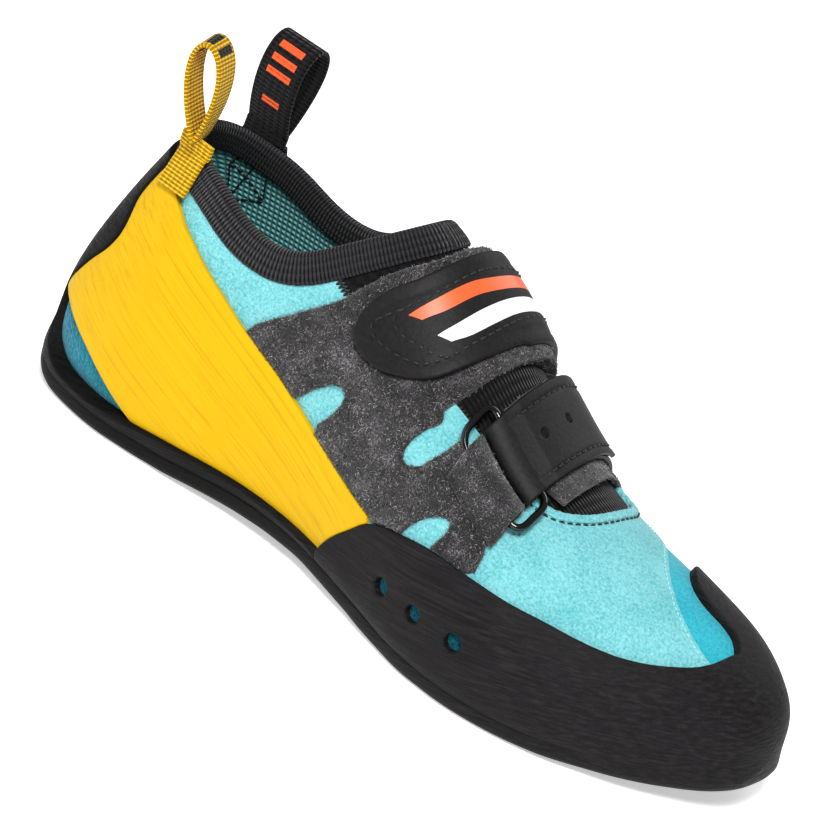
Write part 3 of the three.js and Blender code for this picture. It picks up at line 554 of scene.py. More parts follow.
def tube(sections, closed_path=False):
    """Faces of a skin over section loops of shape (stops, points round, 3), with both ends capped by
    fans to their middles unless the path closes on itself."""
    stops, around = sections.shape[:2]
    points = sections.reshape(-1, 3)
    faces = [tube_quads(stops, around, closed_path)]
    if not closed_path:
        ring = np.arange(around)
        ends = np.stack([sections[0].mean(0), sections[-1].mean(0)])
        points = np.vstack([points, ends])
        last = (stops - 1) * around
        middle = stops * around
        faces.append(np.concatenate([
            np.stack([np.full(around, middle), (ring + 1) % around, ring], 1),
            np.stack([np.full(around, middle + 1), last + ring, last + (ring + 1) % around], 1),
        ]))
    return points, faces


def outwards(points, faces):
    """The same faces, all turned over if they close round a negative volume."""
    volume = 0.0
    for group in faces:
        for k in range(1, group.shape[1] - 1):
            a, b, c = (points[group[:, n]] for n in (0, k, k + 1))
            volume += np.einsum("ij,ij->", a, np.cross(b, c))
    return [group[:, ::-1] for group in faces] if volume < 0 else faces


def traced(sheet, field, level=0.0):
    """Ordered places along the line where a field has a level: loops of points, normals and slopes."""
    points, normals, slope, faces = clipped(sheet, field, level)
    follow = dict(open_edges(faces).tolist())
    loops = []
    while follow:
        start, here = follow.popitem()
        loop = [start]
        while here in follow:
            loop.append(here)
            here = follow.pop(here)
        if here != start:
            loop.append(here)
        loops.append(np.array(loop))
    loops.sort(key=len, reverse=True)
    return [(points[k], normals[k], slope[k]) for k in loops]


def spaced(path, step, *others, closed=False):
    """A path and the arrays beside it, at even steps of about `step` along it."""
    if closed:
        path = np.vstack([path, path[:1]])
        others = [np.vstack([o, o[:1]]) for o in others]
    length = lengths(path)
    count = max(2, round(length[-1] / step))
    want = np.linspace(0, length[-1], count, endpoint=not closed)
    return (*(read_off(values, length, want) for values in (path, *others)), want)


# The regions of the pieces, in side view and in plan
RIM_LINE, HEEL_LINE, RAND_LINE = side_view(RIM), side_view(HEEL_EDGE), side_view(RAND_EDGE)
PLAN = (0, 1)


def upwards(points):
    """A facing straight up for each of the points."""
    return np.tile([0.0, 0.0, 1.0], (len(points), 1))


def half_space(axis, start, way):
    """The places past a plane across one axis, towards `way`."""
    def field(points, normals):
        slope = np.zeros((len(points), 3))
        slope[:, axis] = way
        return (points[:, axis] - start) * way, slope
    return field


def by_height(value):
    """The places under a level."""
    return half_space(2, value, -1)


CLOSING_PLACES = 24      # places of the straight line that would close the rim
OVER_RIM = outline_field(np.vstack([
    [[-FAR, RIM_LINE[0, 1]]], smooth_outline(RIM_LINE)[:-CLOSING_PLACES],
    [[FAR, RIM_LINE[-1, 1]], [FAR, FAR], [-FAR, FAR]],
]))
UNDER_COLLAR = without(moved(OVER_RIM, BINDING_WIDTH + CLEARANCE))
HEEL_WINDOW = outline_field(smooth_outline(np.vstack([
    HEEL_LINE, [[x_at(BAND_FRONT), HEEL_LINE[-1, 1]], [x_at(BAND_FRONT), HEEL_LINE[0, 1]]],
])))
RAND_SIDE = outline_field(smooth_outline(np.vstack([
    RAND_LINE, [[x_at(PAST_TOE), -FAR], [x_at(HEEL_STRIP_END), -FAR]],
])))
BAND_SIDE = outline_field(smooth_outline(side_view(BAND_EDGE)))
THROAT_PLAN = both(outline_field(smooth_outline(plan_view(THROAT)), PLAN), half_space(2, 21, 1))
TOE_PLAN = both(outline_field(smooth_outline(plan_view(TOE_PATCH)), PLAN), half_space(2, SOLE, 1))
CREST = float(through_rows(FORM_TABLE, np.array(RING_STATION))[1])


def tread_at(x):
    """Height of the sole's underside: smooth curve through the tread's rows."""
    x = np.asarray(x, float)
    rows = extended(np.stack([x_at(TREAD[:, 0]), TREAD[:, 1] * FORM_HEIGHT], 1))
    line = through_rows(rows, np.linspace(0, len(TREAD) - 1, 1200))
    return np.maximum(np.interp(x, line[:, 0], line[:, 1]), 0)


SOLE_LINE = np.linspace(x_at(-0.005), x_at(1.01), 90)
OVER_SOLE = outline_field(np.vstack([
    np.stack([SOLE_LINE, tread_at(SOLE_LINE) + SOLE + SOLE_LIP - 1.3], 1),
    [[FAR, SOLE + 8], [FAR, FAR], [-FAR, FAR], [-FAR, SOLE + 8]],
]))
OVERLAP_GAP = 0.15       # under every layer sewn or glued on


def oval(centre, long, wide, tilt, count=40):
    """An ellipse in side view."""
    a = evenly_turned(count)
    u, v = long * np.cos(a), wide * np.sin(a)
    c, s = np.cos(np.radians(tilt)), np.sin(np.radians(tilt))
    return np.stack([centre[0] + u * c - v * s, centre[1] + u * s + v * c], 1)


def ovals(centres, longs, wides, tilts):
    """Inside any of the ellipses, on the outer side of the shoe."""
    fields = [outline_field(oval(*spot)) for spot in zip(centres, longs, wides, tilts)]
    return both(either(*fields), half_space(1, 0, -1))


VENT_ROOM = 0.8          # the layers over the vents stop this far from them
VENT_SPOTS = side_view(VENTS)
VENT_FIELD = ovals(VENT_SPOTS, [VENT / 2] * 3, [VENT / 2] * 3, [0] * 3)
WINDOW_ROWS = np.array(FELT_WINDOWS)
WINDOW_FIELD = ovals(
    side_view(WINDOW_ROWS[:, :2]), WINDOW_ROWS[:, 2] * BALL_WIDTH, WINDOW_ROWS[:, 3] * BALL_WIDTH,
    WINDOW_ROWS[:, 4],
)
RAND_FIELD = both(either(RAND_SIDE, TOE_PLAN), without(VENT_FIELD), OVER_SOLE)
HEEL_RAND_FIELD = both(
    without(HEEL_WINDOW), half_space(0, x_at(HEEL_STRIP_END) - CLEARANCE / 2, -1), UNDER_COLLAR, OVER_SOLE,
)
BAND_FIELD = both(
    BAND_SIDE, moved(HEEL_WINDOW, -CLEARANCE / 2), without(moved(RAND_SIDE, CLEARANCE / 2)), UNDER_COLLAR,
    OVER_SOLE,
)
FLAP_FIELD = by_side(
    outline_field(smooth_outline(side_view(FLAP_EDGE))),
    outline_field(smooth_outline(side_view(FLAP_INNER_EDGE))), CREST,
)

# Straps and ring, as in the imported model
RING_TURN = 57.0
FRONT_STRAP_END = 121.0
STRAP_ANCHOR = 150.0
STRAP_SLANT = -0.0036
TURN_STEP, STATION_STEP = 1.0, 0.5
TURN_ENDS = on_form(RING_STATION, [RING_TURN + TURN_STEP, RING_TURN - TURN_STEP], 0)
STATION_ENDS = on_form([RING_STATION + STATION_STEP, RING_STATION - STATION_STEP], RING_TURN, 0)
PER_DEGREE = float(np.linalg.norm(TURN_ENDS[0] - TURN_ENDS[1])) / (2 * TURN_STEP)
PER_STATION = float(np.linalg.norm(STATION_ENDS[0] - STATION_ENDS[1])) / (2 * STATION_STEP)
STRAP_LEVEL = LAY + FELT + CLEARANCE
RING_LEVEL = STRAP_LEVEL + STRAP + CLEARANCE / 2
HALF_BARS = (RING_WIDTH - RING_WIRE) / 2
FOLD = RING_WIRE / 2 + FOLD_ROOM
FOLD_REACH = 2.7         # the folds bulge this much further into the ring
FOLD_STEP = 0.5          # between two pairs of places round a fold
SETTLE = FOLD * 4
STRAP_FOLD = RING_TURN + HALF_BARS / PER_DEGREE
TAB_FOLD = RING_TURN - HALF_BARS / PER_DEGREE
HALF_STRAP = STRAP_WIDTH / 2 / PER_STATION


def slanted(station, turn):
    """Stations of the front strap lean a little along the shoe as it goes over the instep."""
    return station + STRAP_SLANT * (turn - RING_TURN)


def ring_side(turn):
    """Side view of the two ends of a line across the front strap."""
    stations = np.array([RING_STATION - HALF_STRAP, RING_STATION + HALF_STRAP])
    return on_form(slanted(stations, turn), turn, 0)[:, [0, 2]]


ARCH_HEIGHT = 3.6


def arch(points):
    """How far the rear strap and the felt under it stand off the instep past its crest."""
    across = np.exp(-((points[:, 1] - 17) / 11) ** 2)
    return ARCH_HEIGHT * across * np.exp(-((points[:, 0] - 84) / 21) ** 4)


RING_RISE = 2.0          # how far the felt rises to the ring's bar
DEEPEST_CREASE = -0.9
# Creases of the felt panel: height in mm (below 0 is a trough), half width in mm, and places x, z in mm
FELT_CREASES = [
    (-0.9, 3.2, [(77, 71), (84, 71), (92, 71.5), (99, 73), (103, 77)]),
    (1.9, 2.6, [(103, 51), (107, 55), (109, 58.5), (109.5, 63)]),
    (-0.9, 2.3, [(104, 56), (110, 55), (117, 53), (124, 51), (131, 49.5)]),
    (-0.8, 3.0, [(58, 65), (68, 67), (77, 68), (86, 65.5)]),
    (1.6, 2.2, [(109, 62), (115, 59), (122, 56), (128, 53)]),
    (-0.8, 2.4, [(90, 55), (97, 52.5), (104, 51), (112, 51)]),
    (1.5, 2.8, [(66, 60), (74, 61.5), (82, 61), (90, 60)]),
]


def crease(points, height, width, path):
    """A soft ridge, or a trough, along a line of x and z, fading out at its ends:
    height * exp(-(away / width)^2) * sin(pi * along)^0.6."""
    path = np.array(path, float)
    start, run = path[:-1], np.diff(path, axis=0)
    reach = np.linalg.norm(run, axis=1)
    begin = lengths(path)[:-1]
    side = points[:, None, [0, 2]] - start
    share = np.clip((side * run).sum(2) / reach**2, 0, 1)
    away = np.linalg.norm(side - share[..., None] * run, axis=2)
    nearest = away.argmin(1)
    every = np.arange(len(points))
    along = (begin + share * reach)[every, nearest] / reach.sum()
    return height * np.exp(-(away[every, nearest] / width) ** 2) * np.sin(np.pi * along) ** 0.6


def felt_relief(points, _normals):
    """The felt rises to the ring's bar, stands off with the rear strap, is creased and ripples."""
    start, end = ring_side(TAB_FOLD)
    run = unit(end - start)
    side = points[:, [0, 2]] - start
    along = side @ run / np.linalg.norm(end - start)
    away = side @ np.array([-run[1], run[0]]) * np.sign(run[0])
    rise = np.clip(1 - np.abs(away) / 13, 0, 1)
    within = 1 / (1 + np.exp((np.abs(along - 0.5) - 0.5) / 0.07))
    ripple = np.sin(points[:, 0] / 3.1 + points[:, 2] / 4.3) * np.sin(points[:, 2] / 3.7 - points[:, 0] / 5.9)
    on_outer = points[:, 1] < CREST
    creases = sum(crease(points, *line) for line in FELT_CREASES) * on_outer
    creases = np.maximum(creases, DEEPEST_CREASE)
    return RING_RISE * rise**1.3 * within * on_outer + arch(points) + 0.22 * ripple + creases


FELT_FIELD = both(
    by_side(
        outline_field(smooth_outline(side_view(FELT_EDGE))),
        outline_field(smooth_outline(side_view(FELT_INNER_EDGE))), CREST,
    ),
    without(moved(RAND_SIDE, CLEARANCE / 2)), without(moved(BAND_SIDE, CLEARANCE / 2)), UNDER_COLLAR,
    without(WINDOW_FIELD),
)


def layer(first, last, low, high, pitch=0.7):
    """Pairs of under and upper places of a flat stretch of a strap: degrees, height over the form."""
    turns = np.linspace(first, last, max(2, math.ceil(abs(last - first) * PER_DEGREE / pitch)))
    return np.stack([np.stack([turns, np.full(len(turns), low)], 1),
                     np.stack([turns, np.full(len(turns), high)], 1)], 1)


def folded(fold, way, cloth, lower, upper):
    """Pairs of places of a strip folded round a bar of the ring, from the lower leg's end over the arc
    to the upper leg's end. way is 1 towards the inner side and -1 towards the outer."""
    angles = np.radians(np.linspace(-90, -270, 24))
    arcs = [
        np.stack([fold + way * (radius + FOLD_REACH) * np.cos(angles) / PER_DEGREE,
                  RING_LEVEL + radius * np.sin(angles)], 1)
        for radius in (FOLD + cloth, FOLD)
    ]
    settle = fold + way * SETTLE / PER_DEGREE
    under = layer(lower[0], settle, lower[1], lower[1] + cloth)
    over = layer(settle, upper[0], upper[1] + cloth, upper[1])
    pairs = np.concatenate([under, np.stack(arcs, 1), over])
    length = lengths(pairs.mean(1) * [PER_DEGREE, 1])
    want = np.linspace(0, length[-1], math.ceil(length[-1] / FOLD_STEP))
    return read_off(pairs.reshape(-1, 4), length, want).reshape(-1, 2, 2)


def laid(pairs, first, last, pitch=0.8, rounding=0.55, relief=None, stand=None):
    """A strip of those pairs carried between two stations, with its long edges rounded by shrinking
    the pairs towards their middle. relief(turn, mm along the shoe) lowers the outermost side."""
    middle = pairs.mean(1, keepdims=True)
    half = np.linalg.norm((pairs[:, 1] - pairs[:, 0]) * [PER_DEGREE, 1], axis=1).mean() / 2
    width = (last - first) * PER_STATION
    corner = np.radians(np.linspace(0, 90, 5))
    inset, shrink = rounding * (1 - np.cos(corner)), 1 - rounding * (1 - np.sin(corner)) / half
    inner = np.linspace(rounding, width - rounding, max(2, math.ceil(width / pitch)))[1:-1]
    along = np.concatenate([inset, inner, width - inset[::-1]])
    scale = np.concatenate([shrink, np.ones(len(inner)), shrink[::-1]])
    sections = []
    for mm, share in zip(along, scale):
        shaped = middle + (pairs - middle) * share
        if relief is not None:
            shaped = shaped.copy()
            shaped[:, 0, 1] += relief(shaped[:, 0, 0], mm)
        loop = np.vstack([shaped[:, 0], shaped[::-1, 1]])
        if stand is not None:
            loop[:, 1] += stand(loop[:, 0], mm)
        sections.append(on_form(slanted(first + mm / PER_STATION, loop[:, 0]), loop[:, 0], loop[:, 1]))
    sections = np.stack(sections)
    count = sections.shape[1]
    points, faces = tube(sections)
    points, faces = points[:-2], faces[:1]
    k = np.arange(count // 2 - 1)
    rung = np.stack([k, k + 1, count - 2 - k, count - 1 - k], 1)
    last_ring = (len(sections) - 1) * count
    return points, outwards(points, faces + [rung, rung[:, ::-1] + last_ring])


def rounded_strip(width, thickness, rounding, count=5):
    """Section of a band or webbing: a rectangle with round corners, as places across and up."""
    quarter = np.radians(np.linspace(0, 90, count))
    u, v = width / 2 - rounding, thickness / 2 - rounding
    loops = [
        np.stack([su * u + rounding * np.cos(quarter + turn), sv * v + rounding * np.sin(quarter + turn)], 1)
        for su, sv, turn in ((1, 1, 0), (-1, 1, np.pi / 2), (-1, -1, np.pi), (1, -1, 1.5 * np.pi))
    ]
    flat = np.linspace(u, -u, 9)[1:-1]
    loops.insert(1, np.stack([flat, np.full(7, v + rounding)], 1))
    loops.insert(4, np.stack([flat[::-1], np.full(7, -v - rounding)], 1))
    return np.concatenate(loops)


def webbing(path, across, section, closed):
    """A band swept along a path: each stop has the direction of its width. Its lay is mm along and
    mm across."""
    if closed:
        ahead = np.roll(path, -1, 0) - np.roll(path, 1, 0)
    else:
        ahead = np.gradient(path, axis=0)
    across = unit(across)
    out = unit(np.cross(ahead, across))
    across = unit(np.cross(out, ahead))
    sections = path[:, None] + across[:, None] * section[:, :1] + out[:, None] * section[:, 1:]
    points, faces = tube(sections, closed)
    length = lengths(path)
    lay = np.stack(np.broadcast_arrays(length[:, None], section[None, :, 0]), -1).reshape(-1, 2)
    if not closed:
        lay = np.vstack([lay, [[0, 0], [length[-1], 0]]])
    return points, outwards(points, faces), lay


# Finishes
def colour(red, green, blue):
    """A shader colour from an sRGB one of 0 to 255."""
    c = np.array([red, green, blue]) / 255
    return (*np.where(c <= 0.04045, c / 12.92, ((c + 0.055) / 1.055) ** 2.4).tolist(), 1.0)


class Finish:
    """One material's nodes. Sizes are in mm: `mm` is the object's own place times 1000."""

    def __init__(self, name, roughness, **shader):
        self.material = bpy.data.materials.new(name)
        self.material.use_nodes = True
        self.tree = self.material.node_tree
        self.shader = self.tree.nodes["Principled BSDF"]
        self.shader.inputs["Roughness"].default_value = roughness
        for key, value in shader.items():
            self.shader.inputs[key.replace("_", " ")].default_value = value
        place = self.add("TexCoord")
        self.mm = self.add("VectorMath", {0: place.outputs["Object"], 1: (1000, 1000, 1000)},
                           operation="MULTIPLY").outputs[0]
        self.lay = self.add("UVMap", uv_map="lay").outputs[0]

    def add(self, kind, inputs=(), **settings):
        """A node with its settings, and its inputs linked to sockets or set to values."""
        node = self.tree.nodes.new("ShaderNode" + kind)
        for key, value in settings.items():
            setattr(node, key, value)
        for key, value in dict(inputs).items():
            if isinstance(value, bpy.types.NodeSocket):
                self.tree.links.new(value, node.inputs[key])
            else:
                node.inputs[key].default_value = value
        return node

    def stretched(self, turn, scale, source=None):
        """The place, turned about the three axes in degrees and then scaled."""
        angles = [math.radians(degrees) for degrees in turn]
        turned = self.add("VectorRotate", {"Vector": source or self.mm, "Rotation": angles},
                          rotation_type="EULER_XYZ").outputs[0]
        return self.add("VectorMath", {0: turned, 1: scale}, operation="MULTIPLY").outputs[0]

    def directions(self, turn):
        """The two directions of a weave: of the turned place, or of the lay where there is no turn."""
        source = self.lay if turn is None else self.stretched(turn, (1, 1, 1))
        return self.add("SeparateXYZ", {0: source}).outputs[:2]

    def noise(self, size, detail=2.0, source=None, roughness=0.5):
        """Soft noise whose blots are about `size` mm wide."""
        return self.add("TexNoise", {"Vector": source or self.mm, "Scale": 1 / size, "Detail": detail,
                                     "Roughness": roughness}).outputs["Fac"]

    def ramp(self, value, *stops):
        """Colours at stops of a value."""
        node = self.add("ValToRGB", {"Fac": value})
        while len(node.color_ramp.elements) < len(stops):
            node.color_ramp.elements.new(0.5)
        for element, (position, shade) in zip(node.color_ramp.elements, stops):
            element.position = position
            element.color = shade
        return node.outputs["Color"]

    def maths(self, operation, a, b=0.0):
        """One sum on two values."""
        return self.add("Math", {0: a, 1: b}, operation=operation).outputs[0]

    def blend(self, a, share_a, b, share_b=1.0):
        """a * share_a + b * share_b."""
        return self.maths("ADD", self.maths("MULTIPLY", a, share_a), self.maths("MULTIPLY", b, share_b))

    def mix(self, share, a, b):
        """Colour a turning into colour b."""
        return self.add("Mix", {0: share, 6: a, 7: b}, data_type="RGBA").outputs[2]

    def paint(self, socket):
        """The colour from a socket."""
        self.tree.links.new(socket, self.shader.inputs["Base Color"])
        return self

    def rough(self, socket):
        """The roughness from a socket."""
        self.tree.links.new(socket, self.shader.inputs["Roughness"])
        return self

    def bump(self, height, strength=0.5, distance=0.3, after=None):
        """Bump of a height, `distance` mm high."""
        inputs = {"Height": height, "Strength": strength, "Distance": distance * MM}
        if after is not None:
            inputs["Normal"] = after
        normal = self.add("Bump", inputs).outputs[0]
        self.tree.links.new(normal, self.shader.inputs["Normal"])
        return normal


def plain(name, shade, roughness, **shader):
    """A material of one colour."""
    finish = Finish(name, roughness, **shader)
    finish.shader.inputs["Base Color"].default_value = shade
    return finish.material


def suede(name, light, dark):
    """Short nap: light and dark brushed blots, fine speckle, fuzzy sheen."""
    finish = Finish(name, 0.95, Sheen_Weight=0.25, Sheen_Roughness=0.4, Specular_IOR_Level=0.1)
    blots = finish.noise(11, 3)
    speckle = finish.noise(0.75, 2, roughness=0.6)
    finish.paint(finish.ramp(finish.blend(blots, 0.28, speckle, 0.72), (0.33, dark), (0.6, light)))
    first = finish.bump(finish.noise(1.3, 2), 1.0, 0.9)
    finish.bump(speckle, 0.8, 0.5, first)
    return finish.material


def rubber_finish():
    """Matt black rubber, ground in fine streaks along the shoe, made blacker towards the heel as painted
    shade for the heel's rubber that faces down, away from the light.
    """
    finish = Finish("black_rubber", 0.62, Specular_IOR_Level=0.12)
    streaks = finish.noise(1, 3, finish.stretched((0, 10, 0), (0.03, 0.4, 1.35)), 0.6)
    grain = finish.noise(0.8, 2)
    fine = finish.blend(streaks, 0.85, grain, 0.15)
    toe = finish.ramp(fine, (0.36, colour(15, 14, 15)), (0.5, colour(24, 22, 24)), (0.66, colour(37, 35, 36)))
    # The heel's colour is the same rubber made blacker: painted shade, faded out towards the toe between x 40
    # and 115 mm.
    heel = finish.ramp(fine, (0.36, colour(3, 3, 3)), (0.7, colour(16, 14, 14)))
    along = finish.add("SeparateXYZ", {0: finish.mm}).outputs[0]
    heel_shade_fade = finish.add("MapRange", {0: along, 1: 40.0, 2: 115.0}).outputs[0]
    finish.paint(finish.mix(heel_shade_fade, heel, toe))
    finish.rough(finish.ramp(streaks, (0.3, (0.5, 0.5, 0.5, 1)), (0.7, (0.7, 0.7, 0.7, 1))))
    first = finish.bump(streaks, 1.0, 0.5)
    finish.bump(grain, 0.4, 0.18, first)
    return finish.material


def band_finish():
    """Yellow rubber with fine drawn lines along the band and faint darker blots."""
    finish = Finish("yellow_rubber", 0.5, Specular_IOR_Level=0.12)
    along = finish.stretched((0, -21, 0), (0.006, 0.3, 1.25))
    lines = finish.noise(1, 4, along, 0.7)
    blots = finish.noise(25, 2)
    warm = finish.ramp(
        lines, (0.34, colour(197, 148, 0)), (0.44, colour(209, 166, 2)), (0.7, colour(218, 176, 4)),
    )
    finish.paint(finish.mix(finish.maths("MULTIPLY", blots, 0.3), warm, colour(204, 156, 0)))
    first = finish.bump(lines, 0.7, 0.35)
    finish.bump(finish.noise(1.0, 2), 0.3, 0.15, first)
    return finish.material


def leather_finish(name, shade, light):
    """Smooth leather with a fine pebbled grain and a slight gloss."""
    finish = Finish(name, 0.55, Specular_IOR_Level=0.2)
    cells = finish.add("TexVoronoi", {"Vector": finish.mm, "Scale": 0.95}).outputs["Distance"]
    finish.paint(finish.ramp(finish.noise(1.2, 4), (0.3, shade), (0.7, light)))
    first = finish.bump(cells, 0.4, 0.12)
    finish.bump(finish.noise(0.8, 2), 0.35, 0.12, first)
    return finish.material


def felt_finish():
    """Grey melange felt: pale and black fibres mixed."""
    finish = Finish("grey_felt", 1.0, Sheen_Weight=0.3, Sheen_Roughness=0.6, Specular_IOR_Level=0.1)
    fibres = finish.noise(0.45, 4, finish.stretched((20, 10, 35), (0.6, 1.5, 1.0)), 0.75)
    blots = finish.noise(7, 3)
    mixed = finish.blend(fibres, 0.72, blots, 0.28)
    finish.paint(finish.ramp(
        mixed, (0.43, colour(4, 4, 5)), (0.53, colour(29, 27, 29)), (0.64, colour(128, 124, 128)),
    ))
    finish.bump(fibres, 1.0, 0.35)
    return finish.material


def fibre_finish():
    """Single fibres, each of its own grey."""
    finish = Finish("felt_fibres", 0.9, Specular_IOR_Level=0.2)
    shade = finish.add("Attribute", attribute_name="shade").outputs["Fac"]
    finish.paint(finish.ramp(
        shade, (0.0, colour(10, 9, 11)), (0.6, colour(82, 78, 82)), (1.0, colour(206, 202, 204)),
    ))
    return finish.material


def ribbed(name, shade, light, rib, across_rib, source_turn=None, depth=0.35, motif=None, bars=()):
    """Knitted or woven tape: ribs `rib` mm apart, broken every `across_rib` mm."""
    finish = Finish(name, 0.8, Sheen_Weight=0.1, Specular_IOR_Level=0.12)
    u, v = finish.directions(source_turn)
    ribs = finish.maths("SINE", finish.maths("MULTIPLY", u, 2 * math.pi / rib))
    broken = finish.maths("SINE", finish.blend(v, 2 * math.pi / across_rib, ribs, 1.2))
    height = finish.maths("ADD", finish.blend(ribs, 0.5, broken, 0.25), 0.4)
    height = finish.blend(height, 1.0, finish.noise(0.8), 0.5)
    # The colour follows the height of the ribs and a little noise: darker in the grooves as painted shade and
    # lighter on the ridges as painted highlight.
    base = finish.ramp(height, (0.4, shade), (1.1, light))
    for middle, half, reach in bars:
        along = finish.add("Math", {0: u, 1: middle, 2: half}, operation="COMPARE").outputs[0]
        across = finish.add("Math", {0: v, 1: 0.0, 2: reach}, operation="COMPARE").outputs[0]
        base = finish.mix(finish.maths("MULTIPLY", along, across), base, motif)
    finish.paint(base)
    finish.bump(height, 0.8, depth)
    return finish.material


def woven(name, shade, light, size, source_turn=None, depth=0.3):
    """Plain weave: rows of small pads, every other row moved by half."""
    finish = Finish(name, 0.9, Sheen_Weight=0.2, Specular_IOR_Level=0.2)
    waves = [
        finish.maths("SINE", finish.maths("MULTIPLY", way, math.pi / size))
        for way in finish.directions(source_turn)
    ]
    pads = finish.maths("MULTIPLY", *waves)
    height = finish.blend(finish.maths("ABSOLUTE", pads), 1.0, finish.noise(0.4), 0.35)
    # The colour follows the height of the pads and a little noise: darker between the pads as painted shade,
    # lighter on their tops.
    finish.paint(finish.ramp(height, (0.2, shade), (1.0, light)))
    finish.bump(height, 1.0, depth)
    return finish.material


LIGHT_SUEDE = suede("light_suede", colour(134, 206, 211), colour(84, 172, 179))
TOE_SUEDE = suede("toe_suede", colour(50, 184, 202), colour(24, 150, 172))
HEEL_SUEDE = suede("heel_suede", colour(22, 134, 154), colour(4, 92, 114))
# The leather seen through the rand's vents is a darker teal: painted shade for the shadow inside the vents.
VENT_PAINTED_SHADE = suede("vent_painted_shade_suede", colour(10, 96, 114), colour(0, 48, 60))
RUBBER = rubber_finish()
YELLOW = band_finish()
LEATHER = leather_finish("black_leather", colour(11, 10, 10), colour(25, 23, 23))
FELT_GREY = felt_finish()
FIBRES = fibre_finish()
BINDING_TAPE = ribbed("binding_tape", colour(0, 0, 0), colour(46, 44, 49), 1.05, 2.3, None, 0.9)
GORE = ribbed("ribbed_gore", colour(1, 1, 1), colour(15, 14, 16), 1.3, 2.6, (0, 0, 90))
LINING = woven("woven_lining", colour(30, 106, 112), colour(136, 214, 212), 1.7, (90, 0, 0), 0.6)
INSOLE_CLOTH = woven("insole_cloth", colour(120, 122, 120), colour(190, 190, 186), 1.2, (0, 0, 0))
YELLOW_TAPE = ribbed("yellow_webbing", colour(150, 106, 0), colour(236, 192, 8), 1.1, 2.2, None, 0.4,
                     colour(14, 13, 12), [(27, 1.1, 4.5), (31, 1.1, 4.5), (35, 1.1, 4.5)])
BLACK_TAPE = ribbed("black_webbing", colour(1, 1, 1), colour(22, 20, 23), 1.3, 2.6, None, 0.5,
                    colour(240, 92, 44), [(9, 1.0, 3.2), (18, 1.0, 4.4), (22, 1.0, 4.4), (26, 1.0, 4.4)])
WIRE = plain("black_lacquered_wire", colour(30, 30, 32), 0.16, Metallic=0.85, Coat_Weight=0.6)
BLACK_THREAD = plain("black_thread", colour(14, 14, 15), 0.55)
PALE_THREAD = plain("pale_thread", colour(150, 226, 230), 0.7)
ORANGE_PRINT = plain("orange_print", colour(247, 96, 44), 0.35)
WHITE_PRINT = plain("white_print", colour(246, 246, 246), 0.35)
# Near black for the faces in the front strap's punched holes: painted shade for the inside of the holes.
HOLE_PAINTED_SHADE = plain("punched_hole_painted_shade", colour(4, 4, 4), 0.9)
FLOOR_WHITE = plain(
    "pale_floor", colour(250, 250, 250), 0.95, Emission_Color=(1, 1, 1, 1), Emission_Strength=0.5,
)


# Sheets that the layers are cut from
LEATHER_SHEET = form_sheet()
RUBBER_SHEET = form_sheet(corner=RAND_CORNER)
RAND_TOP = CLEARANCE + RAND
BAND_TOP = CLEARANCE + BAND
FELT_TOP = CLEARANCE + FELT
FLAP_TOP = FELT_TOP + CLEARANCE + STRAP


def make_layer(name, sheet, field, low, high, finish, stands_for, rounding=0.6, relief=None):
    """A piece cut from a sheet by a field, between two heights."""
    make_piece(name, raised(sheet, field, low, high, rounding, relief), finish, stands_for)


def sole_edge(rows, side, away):
    """The form's widest line seen from above, moved outwards."""
    def at(row):
        section = through_rows(FORM_TABLE, row)
        return np.stack([section[:, 0], section[:, 1] + np.where(side < 0, -section[:, 2], section[:, 3])], 1)
    before, after = np.maximum(rows - 0.02, 0), np.minimum(rows + 0.02, LAST_ROW)
    run = unit(at(after) - at(before))
    return at(rows) + away * side * np.stack([-run[:, 1], run[:, 0]], 1)


MARGIN = 12.0            # leather left under the foot, all round


def plan_loop(away, rows):
    """The sole's edge of both sides as one closed line."""
    return np.vstack([sole_edge(rows, -1, away), sole_edge(rows, 1, away)[::-1]])


def over_tread(lift):
    """The places higher than `lift` over the sole's underside."""
    def field(points, normals):
        return points[:, 2] - tread_at(points[:, 0]) - lift, upwards(points)
    return field


SOLE_TOP = SOLE + SOLE_LIP - 0.1
SOLE_RINGS = [           # past the rand's lower edge, height over the underside
    (-6.0, 0.0), (-3.6, 0.03), (-2.2, 0.22), (-1.2, 0.65), (-0.5, 1.3), (-0.1, 2.1), (0.05, 3.0),
    (0.1, 4.0), (0.05, 4.9), (0.0, 5.25), (-0.12, SOLE_TOP), (-1.5, SOLE_TOP - 0.2), (-4.0, 3.9),
]


HEEL_SWELL, TOE_SWELL = 1.6, 2.2
SOLE_COUNT = 230         # places along each side of the sole


def rubber_swell(points, _normals=None):
    """The rubber thickens towards the sole at the heel and round the tip of the toe."""
    low = np.clip(1 - (points[:, 2] - 5) / 16, 0, 1)
    heel = HEEL_SWELL * np.clip((14 - points[:, 0]) / 40, 0, 1) ** 0.8
    toe = TOE_SWELL * np.clip((points[:, 0] - 178) / 26, 0, 1)
    return low * (3 - 2 * low) * low * (heel + toe)


